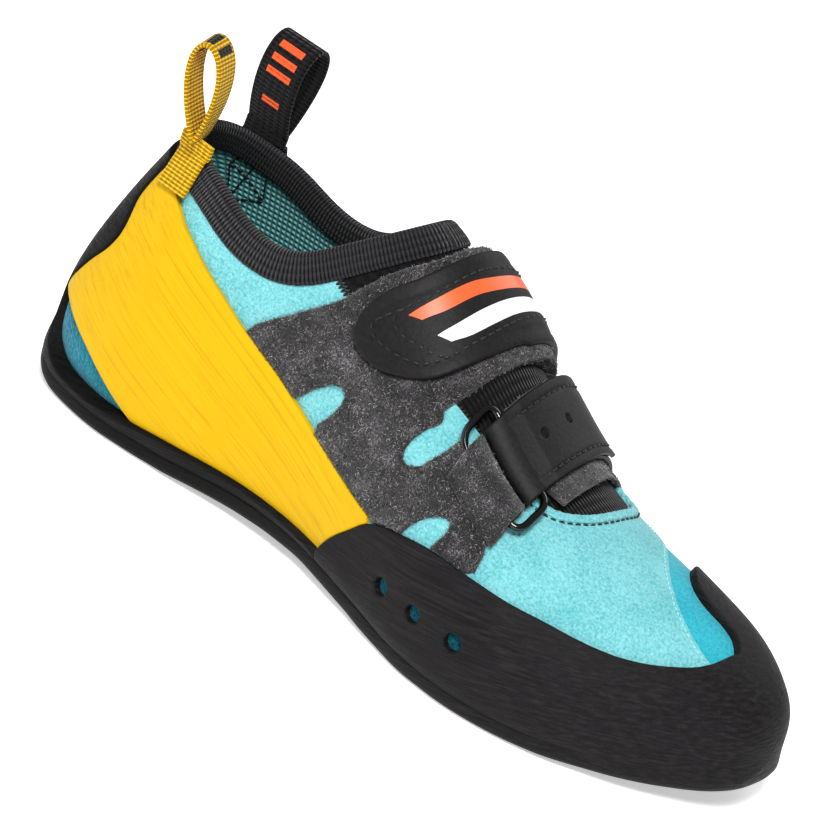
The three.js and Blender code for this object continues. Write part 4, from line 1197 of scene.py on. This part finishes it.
def build_sole():
    """Rings round the shoe, from the line where the rand's face ends, down a rounded edge to the
    underside and in over the top; closed below and above by rungs across the shoe."""
    swell = rubber_swell(RUBBER_SHEET.points)[:, None]
    face = Sheet(RUBBER_SHEET.points + RUBBER_SHEET.normals * (RAND_TOP + swell), *RUBBER_SHEET[1:])
    loop = traced(face, over_tread(SOLE_TOP))[0][0][:, :2]
    loop = np.roll(loop, -int(loop[:, 0].argmin()), 0)
    toe = int(loop[:, 0].argmax())
    chains = []
    for chain in (loop[:toe + 1], np.vstack([loop[toe:], loop[:1]])[::-1]):
        length = lengths(chain)
        chains.append(read_off(chain, length, np.linspace(0, length[-1], SOLE_COUNT)))
    line = np.vstack([chains[0], chains[1][-2:0:-1]])
    for _ in range(8):
        line = softened(line)
    run = unit(np.roll(line, -3, 0) - np.roll(line, 3, 0))
    out = np.stack([run[:, 1], -run[:, 0]], 1)
    out *= np.sign(((line - line.mean(0)) * out).sum())
    sections = []
    for away, lift in SOLE_RINGS:
        plan = line + out * away
        sections.append(np.column_stack([plan, tread_at(plan[:, 0]) + lift]))
    sections = np.stack(sections)
    points, faces = tube(sections)
    around = len(line)
    k = np.arange(1, around // 2 - 1)
    rung = np.stack([k, k + 1, around - k - 1, around - k], 1)
    ends = np.array([[0, 1, around - 1], [around // 2, around // 2 + 1, around // 2 - 1]])
    last = (len(sections) - 1) * around
    faces = [faces[0], rung[:, ::-1], rung + last, ends[:, ::-1], ends + last]
    return points[:-2], outwards(points[:-2], faces)


make_piece("sole", build_sole(), RUBBER, ("outsole",), crease=50)

MARGIN_ROWS = np.linspace(2, LAST_ROW - 2, 60)
UNDER_FOOT = both(outline_field(plan_loop(-MARGIN, MARGIN_ROWS), PLAN), by_height(z_at(0.06)))
UPPER_FIELD = both(without(OVER_RIM), without(THROAT_PLAN), without(UNDER_FOOT))
points, faces = raised(LEATHER_SHEET, UPPER_FIELD, -WALL, 0.0, 0.5)
counts = [len(group) for group in faces]
centres = points[faces[0]].mean(1)
facing = upwards(centres)
in_heel = HEEL_WINDOW(centres, facing)[0] > 0
in_heel &= BAND_SIDE(centres, facing)[0] < 0
in_heel &= (centres[:, 2] < z_at(0.25)) & (centres[:, 0] < x_at(0.2))
# Faces under the rand's vents, which get the darker vent suede as painted shade.
in_vent_shade = moved(VENT_FIELD, VENT_ROOM)(centres, facing)[0] > 0
TOE_SEAM = np.array([[0.700, 0.400], [0.759, 0.296], [0.813, 0.107], [0.856, 0.021], [0.895, -0.010],
                     [0.918, -0.009], [0.960, -0.005]])
TOE_STRIP = outline_field(smooth_outline(plan_view(np.vstack([
    TOE_SEAM, [[1.1, -0.005], [1.1, 0.9], [0.55, 0.9], [0.55, 0.5]],
]))), PLAN)
in_toe = (TOE_STRIP(centres, facing)[0] > 0) & (centres[:, 0] > 90)
which = np.concatenate([
    np.where(in_vent_shade, 4, np.where(in_heel, 1, np.where(in_toe, 2, 0))),
    np.zeros(counts[1], int), np.full(counts[2], 3),
])
UPPER_FINISHES = [LIGHT_SUEDE, HEEL_SUEDE, TOE_SUEDE, LINING, VENT_PAINTED_SHADE]
make_piece("leather_upper", (points, faces), UPPER_FINISHES, ("upper",), finish_of=which)
make_layer("gore", LEATHER_SHEET, both(moved(THROAT_PLAN, -0.15), without(OVER_RIM)), -WALL, -0.1, GORE,
           ("tongue",), 0.4)
VAMP_FIELD = both(without(TOE_STRIP), without(moved(THROAT_PLAN, 0.2)), without(moved(VENT_FIELD, VENT_ROOM)),
                  half_space(0, 80, 1), by_height(90))
make_layer("vamp_panel", LEATHER_SHEET, VAMP_FIELD, 0.02, 0.7, LIGHT_SUEDE, (), 0.35)
make_layer("toe_rand_cover", RUBBER_SHEET, RAND_FIELD, -0.3, RAND_TOP, RUBBER, ("toe_rand",), 0.7,
           rubber_swell)
make_layer("heel_rand_cover", RUBBER_SHEET, HEEL_RAND_FIELD, -1.6, RAND_TOP, RUBBER, ("heel_rand",),
           0.7, rubber_swell)
for side, node in ((-1, "band_outer"), (1, "band_inner")):
    make_layer(node + "_cover", LEATHER_SHEET, both(BAND_FIELD, half_space(1, 0.1 * side, side)), OVERLAP_GAP,
               BAND_TOP, YELLOW, (node,), 0.5)
points, faces = raised(LEATHER_SHEET, FELT_FIELD, OVERLAP_GAP, FELT_TOP, 0.7, felt_relief)
make_piece("felt_cover", (points, faces), FELT_GREY, ("felt_panel",))
triangles = np.vstack([faces[0], halved(faces[1])])
middles = points[triangles].mean(1)
shown = FLAP_FIELD(middles, upwards(middles))[0] < 1
FELT_FACES = [points[triangles[shown]]]


FLAP_STITCH = 4.0


def flap_relief(points, normals):
    """A trough under the outer stitch row and a slightly raised edge outside it."""
    inset = FLAP_FIELD(points, normals)[0]
    return arch(points) - 0.3 * np.exp(-((inset - FLAP_STITCH) / 0.7) ** 2)


make_layer("rear_strap_cover", LEATHER_SHEET, FLAP_FIELD, FELT_TOP + 0.12, FLAP_TOP, LEATHER,
           ("rear_strap",), 0.7, flap_relief)

STRAP_SIDES = RING_STATION - HALF_STRAP, RING_STATION + HALF_STRAP
UPPER_LEG = STRAP_LEVEL + STRAP + CLEARANCE
HOLES = [(78.0, 10.7), (93.0, 10.7)]    # turn in degrees, mm from the strap's rear edge
HOLE_DEPTH, HOLE_RADIUS, HOLE_PATCH = 1.5, 1.15, 1.7
STITCH_ROWS = 3.0, STRAP_WIDTH - 3.0    # mm from the strap's rear edge


def strap_relief(turn, mm):
    """Dimples of the punched holes and troughs of the two stitch rows, on the upper leg alone."""
    low = np.zeros(len(turn))
    for spot_turn, spot_mm in HOLES:
        away = np.hypot((turn - spot_turn) * PER_DEGREE, mm - spot_mm)
        low -= HOLE_DEPTH / (1 + np.exp((away - HOLE_RADIUS) / 0.08))
    for row in STITCH_ROWS:
        low -= 0.25 * math.exp(-((mm - row) / 0.6) ** 2)
    return low


pairs = folded(STRAP_FOLD, 1, STRAP, (STRAP_ANCHOR, STRAP_LEVEL), (FRONT_STRAP_END, UPPER_LEG))
on_top = (pairs[:, 0, 1] > pairs[:, 1, 1]) & (pairs[:, 0, 0] > STRAP_FOLD)
upper_part = np.where(on_top, 1.0, 0.0)


def top_relief(turn, mm):
    """The strap's relief, on the places of its upper leg."""
    return strap_relief(turn, mm) * upper_part


def near_holes(points, faces):
    """1 for each face that lies in a punched hole, else 0. These faces are painted near black: painted shade
    for the inside of the shallow holes.
    """
    inside = []
    for group in faces:
        centres = points[group].mean(1)
        near = np.zeros(len(centres), int)
        for turn, mm in HOLES:
            station = STRAP_SIDES[0] + mm / PER_STATION
            spot = on_form(slanted(station, turn), turn, UPPER_LEG)
            near |= (np.linalg.norm(centres - spot, axis=1) < HOLE_PATCH).astype(int)
        inside.append(near)
    return np.concatenate(inside)


points, faces = laid(pairs, *STRAP_SIDES, pitch=0.45, relief=top_relief)
make_piece("front_strap_cover", (points, faces), [LEATHER, HOLE_PAINTED_SHADE], ("front_strap",),
           finish_of=near_holes(points, faces))
felt_start = STRAP_FOLD + SETTLE / PER_DEGREE


def felt_stand(turn, mm):
    """The felt's free front edge stands off past the strap and waves a little."""
    past = np.clip(mm - STRAP_WIDTH + 2, 0, 20)
    return 0.28 * past * np.exp(-((turn - 84) / 26) ** 2) * (1 + 0.25 * np.sin(turn / 5.0))


points, faces = laid(layer(felt_start - 3, STRAP_ANCHOR, LAY, LAY + FELT), STRAP_SIDES[0],
                     STRAP_SIDES[1] + FELT_SHOWN / PER_STATION, rounding=0.6, stand=felt_stand)
make_piece("strap_felt_cover", (points, faces), FELT_GREY, ("front_strap_felt",))
FELT_FACES.append(points[halved(faces[0])])
tab_under = TAB_FOLD - 5 / PER_DEGREE, LAY + 0.6
tab_over = TAB_FOLD - 8 / PER_DEGREE, 2.0
points, faces = laid(folded(TAB_FOLD, -1, FELT, tab_under, tab_over), *STRAP_SIDES)
make_piece("ring_tab_cover", (points, faces), FELT_GREY, ("ring_tab",))
FELT_FACES.append(points[halved(faces[0])])


def build_ring():
    """Round wire bent to a rectangle with round corners, lying on the form."""
    half, rise = (RING_LENGTH - RING_WIRE) / 2 - RING_CORNER, HALF_BARS - RING_CORNER
    quarter = np.radians(np.linspace(0, 90, 12))
    path = []
    for su, sv, start in ((1, 1, 0), (-1, 1, 90), (-1, -1, 180), (1, -1, 270)):
        a = quarter + math.radians(start)
        path.append(np.stack([su * half + RING_CORNER * np.cos(a), sv * rise + RING_CORNER * np.sin(a)], 1))
    path = np.concatenate(path)
    path, _ = spaced(path, 0.9, closed=True)
    turn = RING_TURN + path[:, 1] / PER_DEGREE
    station = slanted(RING_STATION + path[:, 0] / PER_STATION, turn)
    at = on_form(station, turn, RING_LEVEL)
    normal = unit(on_form(station, turn, RING_LEVEL + 1) - at)
    side = unit(np.cross(np.roll(at, -1, 0) - np.roll(at, 1, 0), normal))
    points, faces = tube(at[:, None] + circles(16, side, normal) * RING_WIRE / 2, True)
    return points, outwards(points, faces)


make_piece("ring_wire", build_ring(), WIRE, ("buckle_ring",), crease=60)

# Pull loops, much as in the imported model: side, station, turn, facing, bulge, lean, width
LOOP_WEBBING, LOOP_HEIGHT, LOOP_STAND, LOOP_TAIL, TEARDROP = 1.3, 27.5, 4.5, 10.0, 1.3
LOOPS = [
    ("pull_loop_outer", -1, 4.38, 44.0, (0.32, -0.95, 0), 4.7, (-0.22, 0, 0), 12.5,
     YELLOW_TAPE, "outer_webbing"),
    ("pull_loop_inner", 1, 4.25, 44.0, (1, 0, 0), 5.5, (0.02, 0.06, 0), 15.0,
     BLACK_TAPE, "inner_webbing"),
]


def build_loop(side, station, turn, facing, bulge, lean, width):
    """Webbing: a tail sewn to the shoe's side, and a drop standing on it."""
    away = CLEARANCE + RAND + CLEARANCE + LOOP_WEBBING / 2
    angle = turn + np.linspace(0, LOOP_TAIL, 16)
    angle = angle if side < 0 else 180 - angle
    tail = on_form(station, angle, away)
    across = on_form(station + 0.02, angle, 0) - on_form(station - 0.02, angle, 0)
    foot = tail[-1] + [0, 0, LOOP_STAND]
    rise_up = tail[-1] + np.linspace(0, 1, 6)[1:, None] * [0, 0, LOOP_STAND]
    tail, across = np.vstack([tail, rise_up]), np.vstack([across, np.repeat(across[-1:], 5, 0)])
    a = evenly_turned(96)
    rise = ((1 - np.cos(a)) / 2)[:, None]
    facing = np.array(facing, float)
    spread = unit(np.cross([0, 0, 1], facing))
    out = -bulge * np.sin(a)[:, None] * np.sqrt(rise) * TEARDROP
    drop = foot + rise * LOOP_HEIGHT * (np.array([0, 0, 1.0]) + lean) + spread * out
    section = rounded_strip(width, LOOP_WEBBING, 0.5)
    first = webbing(drop, np.repeat(facing[None], len(drop), 0), section, True)
    second = webbing(tail, across, section, False)
    shift = len(first[0])
    faces = first[1] + [group + shift for group in second[1]]
    return np.vstack([first[0], second[0]]), faces, np.vstack([first[2], second[2]])


for name, side, station, turn, facing, bulge, lean, width, finish, slot in LOOPS:
    *shape, lay = build_loop(side, station, turn, facing, bulge, lean, width)
    make_piece(name + "_webbing", shape, finish, (name,), uv=lay)


def build_insole():
    """The insole: the form's own underside inside the wall, up to a level above it."""
    rows = np.linspace(0.5, LAST_ROW - 0.5, 120)
    section = through_rows(FORM_TABLE, rows)
    base = section[:, 4] - section[:, 6]
    top = base + WALL + CLEARANCE + INSOLE
    angle = np.linspace(195, 345, 60)
    inwards = form_normal(rows[:, None], angle) * (-WALL - CLEARANCE)
    skin = form_point(rows[:, None], angle) + inwards
    skin[..., 2] = np.minimum(skin[..., 2], top[:, None])
    points, faces = tube(skin)
    return points, outwards(points, faces)


make_piece("insole_cover", build_insole(), INSOLE_CLOTH, ("insole",))


def build_binding():
    """Tape folded over the rim: a leg down each face of the leather, and a round back over the edge.
    Its lay is mm along the rim and mm round the tape."""
    points, _, slopes = traced(LEATHER_SHEET, without(OVER_RIM))[0]
    rim, down, _ = spaced(points, 1.0, slopes, closed=True)
    for _ in range(6):
        rim, down = softened(rim), unit(softened(down))
    tree = BVHTree.FromPolygons([Vector(p) for p in LEATHER_SHEET.points], LEATHER_SHEET.faces.tolist())
    inner, outer = -WALL - CLEARANCE / 2, CLEARANCE / 2
    middle, back = (inner + outer) / 2, (outer - inner) / 2 + BINDING
    legs = np.array([7.5, 7.0, 6.0, 4.5, 3.0, 1.5, 0.0])
    puff = BINDING * np.array([0.3, 0.8, 1.0, 1.06, 1.08, 1.04, 1.0])
    arc = np.radians(np.linspace(0, 180, 13))[1:-1]
    small = (outer - inner) / 2
    profile = [(s, outer + h) for s, h in zip(legs, puff)]
    profile += [(-back * math.sin(a), middle + back * math.cos(a)) for a in arc]
    profile += [(s, inner - h) for s, h in zip(legs[::-1], puff[::-1])]
    profile += [(s, inner) for s in (7.2, 4.5, 1.5, 0.0)]
    profile += [(-small * math.sin(a), middle - small * math.cos(a)) for a in arc[2:-2:2]]
    profile += [(s, outer) for s in (0.0, 1.5, 4.5, 7.2)]
    sections = []
    for s, h in profile:
        at = rim + down * s
        if s >= 0:
            found = [tree.find_nearest(Vector(p))[:2] for p in at]
            at = np.array([f[0] for f in found])
            out = np.array([f[1] for f in found])
        else:
            out = np.array([tree.find_nearest(Vector(p))[1] for p in rim])
        for _ in range(3):
            out = unit(softened(out))
        sections.append(at + out * h)
    sections = np.stack(sections, 1)
    points, faces = tube(sections, True)
    length = np.arange(len(rim)) * np.linalg.norm(rim[1] - rim[0])
    lay = np.stack(np.broadcast_arrays(length[:, None], lengths(sections[0])[None]), -1).reshape(-1, 2)
    return points, outwards(points, faces), lay


*shape, lay = build_binding()
make_piece("binding_cover", shape, BINDING_TAPE, ("collar_binding",), uv=lay, crease=60)


# Stitches, prints and fibres
STITCH_RADIUS = 0.32


def capsules(starts, ends, normals, radius=STITCH_RADIUS, lift=0.1, bow=0.3):
    """Threads from starts to ends, each a bowed six-sided tube of five stops with pointed ends."""
    stops = np.array([0.0, 0.12, 0.5, 0.88, 1.0])
    girth = np.array([0.25, 0.85, 1.0, 0.85, 0.25]) * radius
    height = lift + bow * (np.sin(np.pi * stops) - 0.4)
    axis = starts[:, None] + (ends - starts)[:, None] * stops[None, :, None]
    axis = axis + normals[:, None] * height[None, :, None]
    run = unit(ends - starts)
    side = unit(np.cross(run, normals))
    around = circles(6, side, unit(np.cross(side, run)))
    rings = axis[:, :, None] + around[:, None] * girth[:, None, None]
    count = len(starts)
    shift = np.arange(count)[:, None, None] * 30
    caps = np.array([[5, 4, 3, 2, 1, 0], [24, 25, 26, 27, 28, 29]])
    faces = [(tube_quads(5, 6) + shift).reshape(-1, 4), (caps + shift).reshape(-1, 6)]
    points = rings.reshape(-1, 3)
    return points, outwards(points, faces)


def sew(name, path, normals, finish, slot, length=1.9, gap=0.9, **thread):
    """A row of stitches along a path."""
    even, up, _ = spaced(path, 0.25, normals)
    step = max(1, round((length + gap) / 0.25))
    reach = max(1, round(length / 0.25))
    first = np.arange(0, len(even) - reach, step)
    shape = capsules(even[first], even[first + reach], unit(up[first + reach // 2]), **thread)
    make_piece(name, shape, finish)


def line_on_form(places, height, relief=None):
    """A smooth line through places of row and turn at a height, and the form's normals on it."""
    table = extended(np.array(places, float))
    line = through_rows(table, np.linspace(0, len(places) - 1, 40 * len(places)))
    low, high = (on_form(line[:, 0], line[:, 1], h) for h in (0, 1))
    normals = unit(high - low)
    lift = 0 if relief is None else relief(low)[:, None]
    return low + normals * (height + lift), normals


FLAP_OUTER_ROW = [
    (8.20, 128), (8.20, 112), (8.18, 98), (8.16, 88), (8.14, 73.5), (8.08, 62.3), (7.96, 53),
    (7.82, 46.6), (7.75, 43), (7.82, 41.5), (7.95, 41.3), (8.22, 43.3), (8.48, 47.6), (8.58, 51.3),
    (8.68, 59), (8.72, 68), (8.74, 79), (8.71, 97), (8.69, 112), (8.68, 128),
]
FLAP_INNER_ROW = [
    (7.97, 53.3), (7.93, 49.8), (7.97, 48), (8.14, 48), (8.35, 50.6), (8.58, 54.7), (8.67, 58.2),
]
for name, places in (("flap_stitches", FLAP_OUTER_ROW), ("flap_box_stitches", FLAP_INNER_ROW)):
    path, normals = line_on_form(places, FLAP_TOP - 0.1, arch)
    sew(name, path, normals, BLACK_THREAD, "strap_leather", 2.0, 1.0)
for name, mm in zip(("strap_stitches_rear", "strap_stitches_front"), STITCH_ROWS):
    turns = np.linspace(STRAP_FOLD + 4, FRONT_STRAP_END - 3, 8)
    stations = slanted(STRAP_SIDES[0] + mm / PER_STATION, turns)
    path, normals = line_on_form(np.stack([stations, turns], 1), UPPER_LEG + STRAP - 0.12)
    sew(name, path, normals, BLACK_THREAD, "strap_leather", 2.0, 1.0)


def printed_bar(rear, front, height, thickness=0.14):
    """A print on the rear strap between two edges, each a line of rows and turns."""
    count, across = 60, 12
    low_edge, high_edge = (
        through_rows(extended(np.array(places, float)), np.linspace(0, len(places) - 1, count))[:, None]
        for places in (rear, front)
    )
    share = np.linspace(0, 1, across)[None, :, None]
    grid = low_edge * (1 - share) + high_edge * share
    low = on_form(grid[..., 0], grid[..., 1], 0)
    normals = unit(on_form(grid[..., 0], grid[..., 1], 1) - low)
    lift = (height + arch(low.reshape(-1, 3))).reshape(count, across, 1)
    top, under = low + normals * lift, low + normals * (lift - thickness)
    points, faces = tube(np.concatenate([top, under[:, ::-1]], 1))
    return points, outwards(points, faces)


# Rear and front edge of each bar: rows and turns
PRINTED_BARS = [
    ("orange_bar", ORANGE_PRINT,
     [(8.05, 53), (8.16, 66), (8.22, 80), (8.27, 96), (8.27, 125)],
     [(8.20, 56), (8.31, 66), (8.36, 80), (8.40, 96), (8.40, 125)]),
    ("white_bar", WHITE_PRINT,
     [(8.43, 58), (8.48, 68), (8.50, 81), (8.50, 97), (8.50, 125)],
     [(8.575, 61.5), (8.65, 70), (8.67, 82), (8.655, 97), (8.655, 125)]),
]
for name, finish, rear, front in PRINTED_BARS:
    make_piece(name, printed_bar(rear, front, FLAP_TOP + 0.05), finish)


def stretch_of(loop, keep):
    """The longest stretch of a traced loop whose places are kept."""
    wanted = keep(loop[0])
    shift = int(np.argmin(wanted)) if not wanted.all() else 0
    rolled = [np.roll(part, -shift, 0) for part in loop]
    wanted = np.roll(wanted, -shift)
    edges = np.flatnonzero(np.diff(np.concatenate([[0], wanted.astype(int), [0]])))
    starts, ends = edges[::2], edges[1::2]
    k = (ends - starts).argmax()
    return [part[starts[k]:ends[k]] for part in rolled]


THROAT_EDGE = traced(LEATHER_SHEET, THROAT_PLAN, -3.1)[0]
front = stretch_of(THROAT_EDGE, lambda p: p[:, 0] > 128)
sew("vamp_edge_stitches", front[0] + front[1] * 0.75, front[1], BLACK_THREAD, "suede", 1.7, 0.8, radius=0.28)
bead = stretch_of(traced(LEATHER_SHEET, THROAT_PLAN, -1.35)[0], lambda p: p[:, 0] > 122)
path, out, across, _ = spaced(bead[0], 0.7, bead[1], bead[2])
for _ in range(6):
    path[1:-1] = (path[:-2] + 2 * path[1:-1] + path[2:]) / 4
    across[1:-1] = unit(across[:-2] + 2 * across[1:-1] + across[2:])
waves = 0.85 + 0.12 * np.sin(np.arange(len(path)) * 0.7 * 2 * np.pi / 2.9)
fold_shape = webbing(path + out * waves[:, None], across, rounded_strip(2.7, 1.5, 0.7), False)[:2]
make_piece("vamp_fold", fold_shape, LIGHT_SUEDE)
seam = stretch_of(
    traced(LEATHER_SHEET, TOE_STRIP, -1.5)[0],
    lambda p: (p[:, 2] > 30) & (p[:, 0] > 130) & (p[:, 1] < 40),
)
sew("toe_seam_stitches", seam[0] + seam[1] * 0.72, seam[1], PALE_THREAD, "suede", 1.1, 0.7,
    radius=0.2, bow=0.15)
gore_edge = stretch_of(
    traced(LEATHER_SHEET, THROAT_PLAN, 0.0)[0],
    lambda p: (p[:, 1] < 0) & (p[:, 0] < 128) & (OVER_RIM(p, upwards(p))[0] < -4),
)
even, up, inwards, _ = spaced(gore_edge[0], 1.25, gore_edge[1], gore_edge[2])
inside, outside = even + inwards * 0.9, even - inwards * 1.7
zigzag = np.stack([inside, outside], 1).reshape(-1, 3)
facing = unit(np.repeat(up, 2, 0)[:-1])
make_piece("gore_zigzag", capsules(zigzag[:-1], zigzag[1:], facing, radius=0.3, lift=0.15, bow=0.2),
           BLACK_THREAD)

BOX_ROWS, BOX_TURNS = (3.66, 4.5), (127.0, 142.0)
box = [(BOX_ROWS[i], BOX_TURNS[j]) for i, j in ((0, 0), (1, 0), (1, 1), (0, 1))]
for k, (start, end) in enumerate([(0, 1), (1, 2), (2, 3), (3, 0), (0, 2), (1, 3)]):
    places = np.linspace(box[start], box[end], 4)
    path, normals = line_on_form(places, -WALL - 0.1)
    sew("box_stitches_%d" % (k + 1), path, -normals, BLACK_THREAD, "suede", 2.2, 0.4, radius=0.34)


def build_fibres(corners, count, seed):
    """Single hairs lying on the felt: three-sided tubes of three stops, thrown over its triangles by
    area, each turned at random, bent and lifted at the end."""
    random = np.random.default_rng(seed)
    cross = np.cross(corners[:, 1] - corners[:, 0], corners[:, 2] - corners[:, 0])
    area = np.linalg.norm(cross, axis=1)
    k = random.choice(len(corners), count, p=area / area.sum())
    a, b = random.random((2, count, 1))
    a, b = np.where(a + b > 1, 1 - a, a), np.where(a + b > 1, 1 - b, b)
    tri = corners[k]
    root = tri[:, 0] + (tri[:, 1] - tri[:, 0]) * a + (tri[:, 2] - tri[:, 0]) * b
    up = unit(cross[k])
    ahead = unit(np.cross(up, random.normal(size=(count, 3))))
    side = np.cross(up, ahead)
    length = random.uniform(0.4, 1.1, (count, 1))
    bend = random.normal(0, 0.35, (count, 1)) * length
    lift = random.uniform(0.05, 0.45, (count, 1))
    end_lift = lift * random.uniform(0.2, 1.6, (count, 1))
    end = root + ahead * length + side * bend + up * end_lift
    stops = np.stack([root - up * 0.1, root + ahead * length / 2 + up * lift, end], 1)
    thickness = random.uniform(0.04, 0.065, (count, 1, 1, 1)) * np.array([1, 1, 0.4])[None, :, None, None]
    rings = stops[:, :, None] + circles(3, side, up)[:, None] * thickness
    shift = np.arange(count)[:, None, None] * 9
    points = rings.reshape(-1, 3)
    caps = np.array([[2, 1, 0], [6, 7, 8]])
    faces = [(tube_quads(3, 3) + shift).reshape(-1, 4), (caps + shift).reshape(-1, 3)]
    shade = np.repeat(random.random(count) ** 1.7, 9)
    return points, outwards(points, faces), shade


for name, corners, count, seed in (
    ("felt_fibres", FELT_FACES[0], 13800, 3), ("strap_felt_fibres", FELT_FACES[1], 5500, 4),
    ("tab_fibres", FELT_FACES[2], 1500, 5),
):
    *shape, shade = build_fibres(corners, count, seed)
    make_piece(name, shape, FIBRES, shade=shade)


# Floor, light and camera
floor = bpy.data.meshes.new("floor")
floor.from_pydata([(-9, -9, 0), (9, -9, 0), (9, 9, 0), (-9, 9, 0)], [], [(0, 1, 2, 3)])
floor.materials.append(FLOOR_WHITE)
floor_object = bpy.data.objects.new("floor", floor)
bpy.context.scene.collection.objects.link(floor_object)


def add_light(name, place, aim, size, power):
    """A square soft box at a place, in metres, turned towards another."""
    lamp = bpy.data.lights.new(name, "AREA")
    lamp.size = size
    lamp.energy = power
    holder = bpy.data.objects.new(name, lamp)
    holder.location = place
    holder.rotation_euler = (Vector(aim) - Vector(place)).to_track_quat("-Z", "Y").to_euler()
    bpy.context.scene.collection.objects.link(holder)


add_light("key", (0.5, -0.9, 1.3), (0.07, 0, 0.04), 0.5, 27)
add_light("fill", (-1.2, -0.8, 0.7), (0.07, 0, 0.05), 1.2, 5)
add_light("back", (0.2, 1.3, 1.0), (0.07, 0, 0.05), 1.0, 8)
world = bpy.data.worlds.new("studio")
world.use_nodes = True
world.node_tree.nodes["Background"].inputs["Color"].default_value = (1, 1, 1, 1)
world.node_tree.nodes["Background"].inputs["Strength"].default_value = 0.26
scene = bpy.context.scene
scene.world = world
scene.view_settings.view_transform = "Standard"

AZIMUTH, ELEVATION, ROLL = (math.radians(v) for v in (27.89, 25.75, 22.46))
AIM = np.array([0.087, 0.0, 0.035])
DISTANCE = 1.1
back = np.array([math.sin(AZIMUTH) * math.cos(ELEVATION), -math.cos(AZIMUTH) * math.cos(ELEVATION),
                 math.sin(ELEVATION)])
level = np.array([math.cos(AZIMUTH), math.sin(AZIMUTH), 0.0])
upright = np.cross(back, level)
right = math.cos(ROLL) * level + math.sin(ROLL) * upright
up = math.cos(ROLL) * upright - math.sin(ROLL) * level
lens = bpy.data.cameras.new("camera")
lens.sensor_width = 36.0
lens.lens = 172.4
lens.shift_x = -0.0119
lens.shift_y = 0.0666
lens.clip_start = 0.05
camera = bpy.data.objects.new("camera", lens)
turn = np.eye(4)
turn[:3, 0], turn[:3, 1], turn[:3, 2], turn[:3, 3] = right, up, back, AIM + back * DISTANCE
camera.matrix_world = Matrix(turn.tolist())
scene.collection.objects.link(camera)
scene.camera = camera
